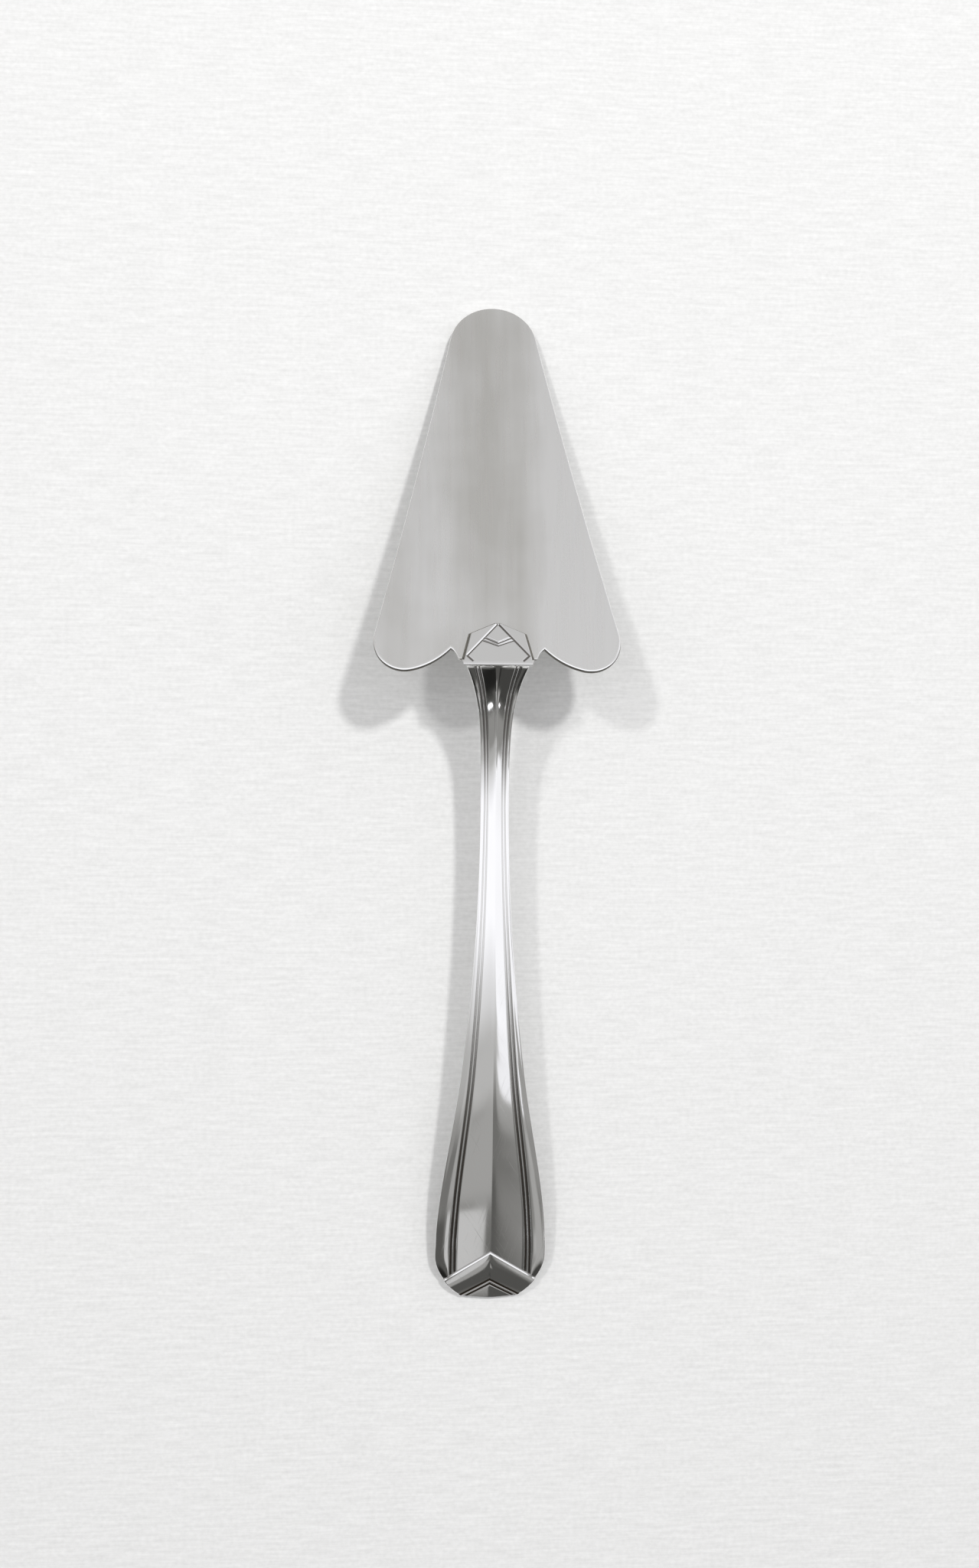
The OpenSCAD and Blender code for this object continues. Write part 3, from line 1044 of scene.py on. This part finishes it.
    def edge_at(self, across: float) -> float:
        """Outline of the last edge and the cut corners.

        Args:
            across: Distance from the middle.

        Returns:
            Distance of the outline from the handle's end there.
        """
        end, edge = self.end_w / 2, self.edge_w / 2
        if across <= edge:
            return self.end_bow * (across / edge) ** 2
        corner = 1 - math.sqrt((end - min(across, end)) / (end - edge))
        return max(self.end_bow, self.corner_len * corner)

    def ring_half(self, t: float) -> float:
        """Half width of a bent ring, up to where it meets the outline.

        Args:
            t: Distance of the ring's peak from the handle's end.

        Returns:
            The half width.
        """
        slope, low, high = self.vee(t), 0.0, self.end_w / 2
        if t - slope * high >= self.corner_len:
            half = self.half_w(t)
            for _ in range(SOLVE_STEPS):
                half = self.half_w(t - slope * half)
            return half
        for _ in range(SOLVE_STEPS):
            middle = (low + high) / 2
            if t - slope * middle > self.edge_at(middle):
                low = middle
            else:
                high = middle
        return low

    def thread_at(self, half: float) -> Point2:
        """Place of the thread grooves in a section.

        Args:
            half: Half width of the section.

        Returns:
            Place of the inner groove, and half the gap to the outer one.
        """
        bare = max(2 * half - self.stem_w, 0.0) / (self.end_w - self.stem_w)
        breadth = bare ** self.thread_spread
        place = mix(self.thread_at_stem, self.thread_at_end, breadth) * half
        return place, mix(self.thread_gap_stem, self.thread_gap_end, breadth) / 2

    def ring_threads(self, t: float) -> Point2:
        """Place of the thread grooves in a bent ring, as if the corners of the end were not cut.

        Args:
            t: Distance of the ring's peak from the handle's end.

        Returns:
            Place of the inner groove, and half the gap to the outer one.
        """
        place, step = 0.0, 0.0
        for _ in range(SOLVE_STEPS):
            here = max(t - self.vee(t) * place, self.corner_len)
            place, step = self.thread_at(self.half_w(here))
        return place, step

    def shade(self, t: float) -> float:
        """Tarnish in the chevron's grooves beside the bead, and painted shade at the foot of its
        edge.

        Args:
            t: Distance of the ring's peak from the handle's end.

        Returns:
            Share of full tarnish and painted shade.
        """
        groove = (self.groove_at - self.facet_at) / 2 + self.groove_lap
        off = abs(t - self.bead_at)
        inside = min((off - self.bead_r / 2) / self.bead_fade, (groove - off) / self.tarnish_and_shade_fade)
        # Painted shade in the crease at the foot of the chevron's edge.
        foot = self.foot_shade * (1 - abs(t - self.foot_at + self.foot_lap) / self.tarnish_and_shade_fade)
        return min(1.0, max(0.0, foot, inside))

    def stain(self, t: float) -> float:
        """Tarnish in the threads: dark towards the end, rubbed off on the stem, some on the neck.

        Args:
            t: Distance from the handle's end.

        Returns:
            Share of full tarnish.
        """
        if t < self.stem_at:
            return mix(self.end_stain, self.stem_stain, ease((t - self.stain_from) / self.stain_run))
        return mix(self.stem_stain, self.neck_stain, ease((t - self.stem_at) / self.neck_stain_run))

    def roof(self, across: float, inner: float) -> float:
        """Level of a panel that falls from the ridge.

        Args:
            across: Distance from the ridge.
            inner: Distance at which it has its full depth.

        Returns:
            The level, as a share of half the thickness.
        """
        ridge_r = min(self.ridge_r, self.ridge_share * inner)
        full = math.hypot(inner, ridge_r) - ridge_r
        return 1 - self.panel_fall * (math.hypot(across, ridge_r) - ridge_r) / full

    def section(self, half: float, threads_at: Point2, threads: float, rim: float, half_t: float,
                plain: float = 0.0) -> list[Station]:
        """Half of a section, from the ridge to the rim.

        Args:
            half: Half width of the ring.
            threads_at: Place of the inner thread groove, and half the gap between the grooves.
            threads: Depth of the thread grooves.
            rim: Level at the rim, as a share of half the thickness.
            half_t: Half the thickness at the ridge.
            plain: 0 for panels, threads and side facets, 1 for one roof from the ridge to the rim.

        Returns:
            Stations from the ridge outward.
        """
        step = min(threads_at[1], self.thread_most * half)
        inner = min(threads_at[0], half - self.thread_reach * step) - step
        outer = inner + 4 * step
        round_r = min(self.rim_r, self.rim_most[1] * rim * half_t, self.rim_most[0] * half)
        shelf = 1 - self.panel_fall
        stations = []
        for i in range(self.panel_steps + 1):
            x = inner * (i / self.panel_steps) ** self.panel_power
            stations.append(Station(x, self.roof(x, inner)))
        start, full = self.thread_stain
        for i in range(1, self.thread_steps + 1):
            place = 4 * i / self.thread_steps
            off = min(abs(place - 1), abs(place - 3))
            groove = math.cos(math.pi / 2 * min(off / self.thread_open, 1.0)) ** 2
            dark = ease((groove - start) / (full - start)) if threads else 0.0
            stations.append(Station(inner + place * step, shelf, -threads * groove, dark))
        crown = self.facet_crown * (shelf - rim) * half_t * (1 - plain)
        for x in spread(0.0, 1.0, self.facet_steps):
            stations.append(Station(mix(outer, half - round_r, x), mix(shelf, rim, x),
                                    crown * 4 * x * (1 - x)))
        for i in range(1, self.rim_steps + 1):
            turn = math.pi / 2 * i / self.rim_steps
            stations.append(Station(half - round_r * (1 - math.sin(turn)), rim,
                                    -round_r * (1 - math.cos(turn))))
        for station in stations:
            roof = self.roof(min(station.across, half - round_r), threads_at[0] - threads_at[1])
            station.share = mix(station.share, roof, plain)
        return stations

    @staticmethod
    def signs(count: int) -> list[tuple[int, int, int]]:
        """Order of a whole ring: top from left to right, then the underside back again.

        Args:
            count: Number of stations in half a section.

        Returns:
            Station, side and face of each point of the ring.
        """
        down, up = range(count - 1, 0, -1), range(1, count)
        return ([(i, -1, 1) for i in down] + [(0, 1, 1)] + [(i, 1, 1) for i in up]
                + [(i, 1, -1) for i in down] + [(0, 1, -1)] + [(i, -1, -1) for i in up])

    def end_facet(self, across: float, here: float) -> float:
        """Level of the small plane triangle in the middle of the end."""
        fall = self.facet_roof * (math.hypot(across, self.ridge_r) - self.ridge_r)
        return mix(self.facet_foot, self.facet_top, here / self.facet_at) - fall

    def bar_ring(self, t: float) -> list[Point3]:
        """Ring of the bar, bent into its V.

        Args:
            t: Distance of the ring's peak from the handle's end.

        Returns:
            Points of the ring. Its tarnish and painted shade are kept for the finish.
        """
        plain = 1 - ease((t - self.chevron_at) / self.edge_step)
        facet = ease((self.facet_at - t) / self.facet_edge)
        threads = self.thread_depth * ease((t - self.foot_at) / self.thread_start)
        slope, shade, stain, rise = self.vee(t), self.shade(t), self.stain(t), self.relief(t)
        cut = self.section(self.ring_half(t), self.ring_threads(t), threads, self.rim_at(t),
                           self.half_t(t), plain)
        ring = []
        for i, side, face in self.signs(len(cut)):
            c = cut[i]
            here = t - slope * c.across
            out = mix(c.share * self.half_t(here) + rise, self.end_facet(c.across, here), facet)
            out += c.lift
            height, turn = self.middle(here)
            ring.append((side * c.across, self.end_y + here - face * out * math.sin(turn),
                         max(height + face * out * math.cos(turn), 0.0)))
            self.dark.append(max(c.dark * stain, shade))
        return ring

    def tongue_section(self, face_half: float, foot_half: float, count: int) -> list[Station]:
        """Half of a section through the tongue: its face and its bevel.

        Args:
            face_half: Half width of the face.
            foot_half: Half width of the foot.
            count: Number of stations, as many as the bar has.

        Returns:
            Stations from the middle outward.
        """
        sides = self.rim_steps + 2
        across = [face_half * i / (count - sides - 1) for i in range(count - sides)]
        first, last = self.heel.bevel_ease, self.heel.bevel_foot
        across[-2] = face_half - first
        stations = [Station(x, 1.0) for x in across]
        for x in [first, *spread(first, last, sides - 1)]:
            stations.append(Station(mix(face_half, foot_half, x), 1 - 2 * x))
        return stations

    def tongue_ring(self, top: Point2, low: Point2, face_half: float, foot_half: float,
                    flat: float) -> list[Point3]:
        """Ring that is partly bar and partly tongue.

        Args:
            top: Place of its top on the blade, as (along, over).
            low: Place of its underside on the blade, as (along, over).
            face_half: Half width of its top.
            foot_half: Half width of its underside.
            flat: 0 for the bar's section, 1 for the tongue's.

        Returns:
            Points of the ring. Its tarnish is kept for the finish.
        """
        root = self.root_w / 2
        bar = self.section(root, self.thread_at(root), self.thread_depth, self.neck_rim_share,
                           self.root_t / 2)
        tongue = self.tongue_section(face_half, foot_half, len(bar))
        thick = math.dist(top, low) / 2
        ring = []
        for i, side, face in self.signs(len(bar)):
            b, c = bar[i], tongue[i]
            if face > 0:
                across = mix(b.across * face_half / root, c.across, flat)
                share = mix(b.share + b.lift / thick, c.share, flat)
            else:
                across = mix(b.across, i / (len(bar) - 1) * foot_half, flat)
                share = -mix(b.share + b.lift / thick, 1.0, flat)
            along, over = between(low, top, (1 + share) / 2)
            carved, dark = 0.0, 0.0
            # Painted shade with tarnish darkens the tongue's bevel towards its foot.
            if face > 0:
                dark = self.heel.edge_tarnish_and_shade * ease((1 - c.share) / self.heel.edge_shade_run)
            # Engraved lines carry painted shade on one side of their walls.
            if face * c.share == 1:
                carved, dark = self.heel.cut(side * across, along - self.point_s)
            over -= self.heel.line_depth * carved * flat
            ring.append(self.plane.place(side * across, along, over))
            self.dark.append(mix(self.stain(self.length) * b.dark, dark, flat))
        return ring

    def lip_rings(self) -> list[list[Point3]]:
        """Rings that turn over the lip's level flat while their underside climbs the stub's edge.

        Returns:
            Points of each ring.
        """
        cos, sin = math.cos(self.crank), math.sin(self.crank)
        root_top = (self.shoulder_s + self.root_t * sin, self.root_t * cos)
        rear_run = self.lip_climb - self.lip_rear
        rear = (root_top[0] - rear_run * cos, root_top[1] + rear_run * sin)
        front = (self.lip_s - self.lip_front, self.face_w)
        neck_top = (rear[0] + cos, rear[1] - sin)
        heel_face = (front[0] - 1, self.face_w)
        rise_steps, ease_steps, roll_steps = self.heel.lip_steps
        tops = [between(root_top, rear, x)
                for x in spread(0.0, 1 - self.heel.lip_ease / rear_run, rise_steps)]
        tops += self.bend(neck_top, rear, front, self.heel.lip_ease, ease_steps)
        tops += self.bend(rear, front, heel_face, self.heel.lip_roll, roll_steps)
        rings = []
        for top in tops:
            x = (root_top[0] - top[0]) / (root_top[0] - tops[-1][0])
            rings.append(self.tongue_ring(
                top, (self.shoulder_s, self.seat_w * x),
                mix(self.root_w / 2, self.heel.face_half(self.heel.length),
                    ease(self.heel.lip_widen * x)),
                mix(self.root_w / 2, self.blade.stub_w / 2, ease(x)),
                ease(self.heel.lip_flatten * x)))
        return rings

    @staticmethod
    def bend(before: Point2, corner: Point2, after: Point2, reach: float,
             steps: int) -> list[Point2]:
        """Small rounding of a corner.

        Args:
            before: Any point on the line into the corner.
            corner: The corner.
            after: Any point on the line out of the corner.
            reach: Distance from the corner at which the rounding starts and ends.
            steps: Number of steps round the corner.

        Returns:
            Points of the rounding, from the first line to the second.
        """
        first, last = (between(corner, p, reach / math.dist(corner, p)) for p in (before, after))
        return [between(between(first, corner, x), between(corner, last, x), x)
                for x in [0.0, *spread(0.0, 1.0, steps)]]

    def heel_rings(self) -> list[list[Point3]]:
        """Rings of the tongue, from the lip to its point.

        Returns:
            Points of each ring.
        """
        start = self.lip_s - self.lip_front - self.heel.lip_roll
        stop = self.point_s + self.heel.front_bevel
        rings = []
        for s in spread(start, stop, self.heel.rings):
            low = s
            if s > self.blade.stub_s:
                share = (s - self.blade.stub_s) / (start - self.blade.stub_s)
                low = mix(self.blade.stub_s, self.shoulder_s, share)
            elif s < stop + self.heel.point_run:
                low = s - self.heel.front_bevel * (1 - (s - stop) / self.heel.point_run)
            rings.append(self.tongue_ring(
                (s, self.face_w), (low, self.seat_w), self.heel.face_half(s - self.point_s),
                min(self.heel.half(low - self.point_s), self.blade.stub_w / 2), 1.0))
        return rings

    def places(self) -> list[float]:
        """Places at which the bar gets a ring, close together at its edges.

        Returns:
            Distances of the rings' peaks from the handle's end.
        """
        grooves = (self.facet_at - self.groove_margin, self.groove_at + self.groove_margin)
        end = [grooves[0] * (i / self.end_steps) ** 2 for i in range(1, self.end_steps + 1)]
        near_edge = [self.chevron_at + d for d in self.edge_places]
        step = [mix(near_edge[-1], self.foot_at, x) for x in self.step_shares]
        foot = [self.foot_at + d for d in self.foot_places]
        faded = self.foot_at + self.chevron_fade
        return (end + spread(*grooves, self.groove_rings)
                + spread(grooves[1], near_edge[0], self.band_rings)[:-1] + near_edge + step + foot
                + spread(foot[-1], faded, self.fade_rings)
                + spread(faded, self.neck_from, self.stem_rings)
                + spread(self.neck_from, self.length, self.neck_rings))

    def build(self) -> None:
        """Skins the rings from the chevron end to the tongue's point and dresses the bar."""
        self.dark = []
        rings = [self.bar_ring(t) for t in self.places()] + self.lip_rings() + self.heel_rings()
        count = len(rings[0])
        faces = tube(len(rings), count, capped=False)
        for first in (0, (len(rings) - 1) * count):
            for j in range(count // 2 - 1):
                faces.append((first + j, first + j + 1, first + count - 2 - j, first + count - 1 - j))
        piece = make_object("struck_handle", [p for ring in rings for p in ring], faces)
        carry(piece, TARNISH_AND_SHADE, self.dark)
        piece.data.materials.append(self.finish.make())
        seat_piece(piece, "handle")


@dataclass
class SolderSeam:
    """Thin fillet of hard solder round the tongue's foot, and the film behind the stub."""

    handle: Handle
    finish: HardSolder = HardSolder()
    edge: float = 0.25
    climb: float = 0.2
    root: float = 0.3
    toe: Point2 = (0.9, 0.03)
    waist: Point2 = (0.35, 0.09)
    side_share: float = 0.5
    crest_in: float = 0.12
    back_share: float = 0.6
    steps: tuple[int, int] = (6, 10)

    def foot_line(self) -> list[Point2]:
        """The tongue's foot, from its left corner round the point to its right.

        Returns:
            Its points as (across, along).
        """
        heel, point = self.handle.heel, self.handle.point_s
        stop = self.handle.blade.stub_s
        places = [0.0, *spread(0.0, heel.shoulder_len, self.steps[0]),
                  *spread(heel.shoulder_len, stop - point, self.steps[1])]
        right = [(heel.half(x), point + x) for x in places]
        return [(-x, s) for x, s in reversed(right)] + right

    def build(self) -> None:
        """Sweeps the fillet along the tongue's foot, adds the rear film and dresses them."""
        line = self.foot_line()
        plane, low = self.handle.plane, self.handle.blade.thickness
        seat = self.handle.seat_w
        profile = [(-self.root, low), (self.edge, low)]
        profile += [(self.edge * share, low + rise) for share, rise in (self.toe, self.waist)]
        profile += [(0.0, seat + self.climb * self.side_share), (-self.crest_in, seat + self.climb),
                    (-self.root, seat + self.climb * self.back_share)]
        points = []
        for i, here in enumerate(line):
            out = square_to(line[min(i + 1, len(line) - 1)], line[max(i - 1, 0)])
            points += [plane.place(here[0] + d * out[0], here[1] + d * out[1], over)
                       for d, over in profile]
        faces = tube(len(line), len(profile))
        first = len(points)
        half = self.handle.root_w / 2
        for over in (0.0, seat):
            for x, s in ((-half, self.handle.blade.stub_s), (half, self.handle.blade.stub_s),
                         (half, self.handle.shoulder_s), (-half, self.handle.shoulder_s)):
                points.append(plane.place(x, s, over))
        faces += [[first + i for i in f] for f in ((0, 1, 2, 3), (4, 5, 6, 7), (0, 1, 5, 4),
                                                   (1, 2, 6, 5), (2, 3, 7, 6), (3, 0, 4, 7))]
        piece = make_object("solder_fillet", points, faces, flat_faces=6)
        piece.data.materials.append(self.finish.make())
        seat_piece(piece, "solder_seam")


# Studio


class Side(Enum):
    """Sides of the table from which lamps shine, as directions across and along it."""

    FRONT_RIGHT = (8.1, 11.5)
    FRONT_LEFT = (-12.0, 11.5)
    HIGH_LEFT = (-7.0, 3.7)


@dataclass(frozen=True)
class Lamp:
    """A round soft lamp."""

    side: Side
    power: float
    size: float = 105.0
    slope: float = 23.6
    distance: float = 1300.0

    def make(self) -> None:
        """Hangs the lamp and turns it to the server."""
        data = bpy.data.lights.new(f"lamp_{self.side.name.lower()}", "AREA")
        data.shape, data.size, data.energy = "DISK", self.size * MM, self.power
        lamp = bpy.data.objects.new(data.name, data)
        back = Vector((*self.side.value, self.slope)).normalized()
        lamp.location = back * self.distance * MM
        lamp.rotation_euler = back.to_track_quat("Z", "Y").to_euler()
        lamp.visible_glossy = False
        bpy.context.scene.collection.objects.link(lamp)


@dataclass(frozen=True)
class Room:
    """The painted room under way: its node tree, and the direction of each ray in it.

    The direction is the ray's share to the right, and its angle from overhead to the handle's side.
    """

    tree: bpy.types.NodeTree
    across: Socket
    along: Socket


@dataclass(frozen=True)
class Patch:
    """A window, wall or corner of the room, brighter or darker than what is behind it.

    Its limits are angles in degrees: across from overhead to the right, and along from overhead
    to the handle's side.
    """

    across: Point2
    along: Point2
    level: float
    soft: Point2 = (2.0, 2.0)

    def limits(self, room: Room) -> list[tuple[Socket, float, float]]:
        """Where the patch sets in at each of its four sides.

        Args:
            room: The room under way.

        Returns:
            Direction of the ray, where the patch sets in, and where it is full.
        """
        found = []
        for a, s in ((self.across[0], self.soft[0] / 2), (self.across[1], -self.soft[0] / 2)):
            found.append((room.across, math.sin(math.radians(a - s)), math.sin(math.radians(a + s))))
        for a, s in ((self.along[0], self.soft[1] / 2), (self.along[1], -self.soft[1] / 2)):
            found.append((room.along, math.radians(a - s), math.radians(a + s)))
        return found

    def paint(self, room: Room, under: Socket) -> Socket:
        """Blends the patch over what is behind it.

        Args:
            room: The room under way.
            under: Level of the room so far.

        Returns:
            Level of the room with the patch.
        """
        share: Socket | float = 1.0
        for angle, start, stop in self.limits(room):
            side = add_node(room.tree, "ShaderNodeMapRange", {
                "Value": angle, "From Min": start, "From Max": stop},
                interpolation_type="SMOOTHSTEP")
            share = add_node(room.tree, "ShaderNodeMath", {0: side.outputs[0], 1: share},
                             operation="MULTIPLY").outputs[0]
        blend = add_node(room.tree, "ShaderNodeMix", {
            "Factor": share, "A": under, "B": self.level}, data_type="FLOAT")
        return blend.outputs["Result"]


@dataclass
class Studio:
    """Cloth, lamps, room and camera."""

    floor_half: float = 4000.0
    room_level: float = 1.16
    wall: str = "#D2D2D0"
    bright_tint: str = "#FBFBFF"
    dim_tint: str = "#F9F7F1"
    camera_at: Point3 = (-19.3, 5.3, 320.0)
    camera_aim: Point3 = (-0.3, 4.5, 0.0)
    camera_up: Point3 = (-0.0042, 1.0, 0.0)
    focal_px: float = 1717.0
    photo_height_px: float = 2048.0
    sensor: float = 36.0
    camera_reach: Point2 = (0.01, 50.0)
    lamps: tuple[Lamp, ...] = (Lamp(Side.FRONT_RIGHT, 6.4), Lamp(Side.FRONT_LEFT, 3.45),
                               Lamp(Side.HIGH_LEFT, 0.4))
    levels: tuple[Point2, ...] = (
        (-90.0, 0.42), (-30.0, 0.54), (-15.0, 0.6), (-8.0, 0.85), (-4.0, 0.98), (8.0, 1.0),
        (13.0, 0.76), (16.5, 0.65), (20.5, 0.45), (27.0, 0.38), (33.0, 0.28), (40.0, 0.21),
        (47.0, 0.15), (52.0, 0.1), (57.0, 0.045), (62.0, 0.015), (72.0, 0.012), (80.0, 0.1),
        (90.0, 0.18))
    patches: tuple[Patch, ...] = (
        # Dark walls at both sides, and a bright place that the blade's right half faces
        Patch((-90.0, -66.0), (-60.0, 60.0), 0.12, (10.0, 10.0)),
        Patch((76.0, 90.0), (-60.0, 60.0), 0.3, (6.0, 10.0)),
        Patch((24.0, 60.0), (-75.0, -25.0), 0.9, (20.0, 20.0)),
        # Grey and dark places, most of them towards the end of the grip
        Patch((-60.0, -17.0), (28.0, 46.0), 0.3, (6.0, 4.0)),
        Patch((25.0, 60.0), (28.0, 46.0), 0.3, (4.0, 4.0)),
        Patch((27.5, 46.0), (18.0, 31.0), 0.36, (1.5, 3.0)),
        Patch((50.0, 72.0), (24.0, 40.0), 0.42, (3.0, 4.0)),
        Patch((-18.0, 8.0), (21.5, 28.0), 0.54, (2.0, 4.0)),
        Patch((-10.5, 5.5), (28.0, 42.0), 0.4, (1.5, 4.0)),
        Patch((-20.0, -10.3), (31.0, 44.0), 0.19, (1.5, 6.0)),
        Patch((5.0, 15.5), (26.0, 41.0), 0.18, (2.0, 10.0)),
        Patch((4.5, 10.8), (38.0, 60.0), 0.11, (2.0, 6.0)),
        Patch((10.8, 15.0), (41.0, 58.0), 0.26, (2.0, 6.0)),
        Patch((14.0, 32.0), (57.0, 76.0), 0.06, (3.0, 4.0)),
        Patch((-5.0, 11.0), (57.0, 78.0), 0.09, (2.0, 4.0)),
        Patch((17.5, 23.5), (31.5, 38.0), 0.45, (1.5, 3.0)),
        Patch((14.5, 22.5), (36.0, 58.0), 0.42, (2.0, 6.0)),
        Patch((-17.0, -10.0), (44.0, 58.0), 0.1, (2.0, 4.0)),
        Patch((-5.0, 1.5), (50.0, 62.5), 0.36, (1.5, 3.0)),
        Patch((12.2, 15.0), (47.0, 52.0), 0.46, (0.8, 3.0)),
        # Bright windows to the right
        Patch((24.0, 66.0), (5.0, 17.5), 1.1, (3.0, 2.0)),
        Patch((48.0, 72.0), (8.0, 26.0), 1.05, (3.0, 5.0)),
        Patch((24.0, 31.5), (15.0, 22.5), 1.1, (3.0, 2.0)),
        Patch((22.2, 26.5), (20.0, 26.5), 1.05, (0.8, 1.0)),
        Patch((18.9, 23.5), (23.6, 29.3), 1.0, (0.6, 1.0)),
        # A narrow window that the end shows, and two small lights that the neck shows
        Patch((-8.0, -3.1), (43.0, 56.0), 0.6, (0.5, 0.8)),
        Patch((-28.0, -22.5), (49.7, 52.5), 2.5, (2.0, 2.0)),
        Patch((25.5, 29.5), (49.5, 51.7), 2.5, (1.2, 1.2)))

    def build(self) -> None:
        """Lays the cloth, hangs the lamps, paints the room and sets up the camera."""
        self.lay_cloth()
        for lamp in self.lamps:
            lamp.make()
        self.paint_room()
        self.set_camera()

    def lay_cloth(self) -> None:
        """Lays the pale cloth."""
        h = self.floor_half
        cloth = make_object("cloth", [(-h, -h, 0.0), (h, -h, 0.0), (h, h, 0.0), (-h, h, 0.0)],
                            [(0, 1, 2, 3)])
        cloth.data.materials.append(PaleCloth().make())

    def paint_room(self) -> None:
        """Paints the room that lights the scene softly and shows in the metal.

        The camera itself sees a plain pale wall behind the table.
        """
        world = bpy.data.worlds.new("room")
        world.use_nodes = True
        tree = world.node_tree
        tree.nodes.clear()
        ray = add_node(tree, "ShaderNodeTexCoord").outputs["Generated"]
        parts = add_node(tree, "ShaderNodeSeparateXYZ", {"Vector": ray}).outputs
        back = add_node(tree, "ShaderNodeMath", {0: parts["Y"], 1: -1.0}, operation="MULTIPLY")
        along = add_node(tree, "ShaderNodeMath", {0: back.outputs[0], 1: parts["Z"]},
                         operation="ARCTAN2")
        room = Room(tree, parts["X"], along.outputs[0])
        level = self.paint_ceiling(room)
        for patch in self.patches:
            level = patch.paint(room, level)
        tint = add_node(tree, "ShaderNodeMix", {
            "Factor": level, "A": linear(self.dim_tint), "B": linear(self.bright_tint)},
            data_type="RGBA")
        shine = add_node(tree, "ShaderNodeBackground", {
            "Color": tint.outputs["Result"], "Strength": level})
        wall = add_node(tree, "ShaderNodeBackground", {"Color": linear(self.wall)})
        seen = add_node(tree, "ShaderNodeLightPath").outputs["Is Camera Ray"]
        both = add_node(tree, "ShaderNodeMixShader", {
            0: seen, 1: shine.outputs[0], 2: wall.outputs[0]})
        add_node(tree, "ShaderNodeOutputWorld", {"Surface": both.outputs[0]})
        bpy.context.scene.world = world

    def paint_ceiling(self, room: Room) -> Socket:
        """Paints how the room grows darker from overhead to its walls.

        Args:
            room: The room under way.

        Returns:
            Level of the room without its patches.
        """
        place = add_node(room.tree, "ShaderNodeMapRange", {
            "Value": room.along, "From Min": -math.pi / 2, "From Max": math.pi / 2})
        ramp = add_node(room.tree, "ShaderNodeValToRGB", {"Fac": place.outputs[0]})
        stops = ramp.color_ramp.elements
        while len(stops) < len(self.levels):
            stops.new(1.0)
        for stop, (angle, level) in zip(stops, self.levels):
            stop.position = (angle + 90) / 180
            stop.color = (level, level, level, 1.0)
        bright = add_node(room.tree, "ShaderNodeMath", {
            0: ramp.outputs["Color"], 1: self.room_level}, operation="MULTIPLY")
        return bright.outputs[0]

    def set_camera(self) -> None:
        """Looks down on the server as the photograph does."""
        data = bpy.data.cameras.new("camera")
        data.sensor_width = self.sensor
        data.lens = self.focal_px / self.photo_height_px * self.sensor
        data.clip_start, data.clip_end = self.camera_reach
        camera = bpy.data.objects.new("camera", data)
        at, aim = Vector(self.camera_at), Vector(self.camera_aim)
        back = (at - aim).normalized()
        right = Vector(self.camera_up).cross(back).normalized()
        camera.location = at * MM
        camera.rotation_euler = Matrix((right, back.cross(right), back)).transposed().to_euler()
        bpy.context.scene.collection.objects.link(camera)
        bpy.context.scene.camera = camera


def main() -> None:
    """Builds the studio and the server's pieces in order."""
    logging.basicConfig(level=logging.INFO, format="%(name)s: %(message)s")
    bpy.context.scene.view_settings.view_transform = "Standard"
    Studio().build()
    blade = Blade()
    _, blade_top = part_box("blade")
    tilt = BladePlane.tilt
    tip_y = blade_top.y / MM - blade.thickness * math.sin(math.radians(tilt))
    plane = BladePlane(tip_y, tilt)
    blade.build(plane)
    handle = Handle(blade, plane)
    handle.build()
    SolderSeam(handle).build()


if __name__ == "__main__":
    main()
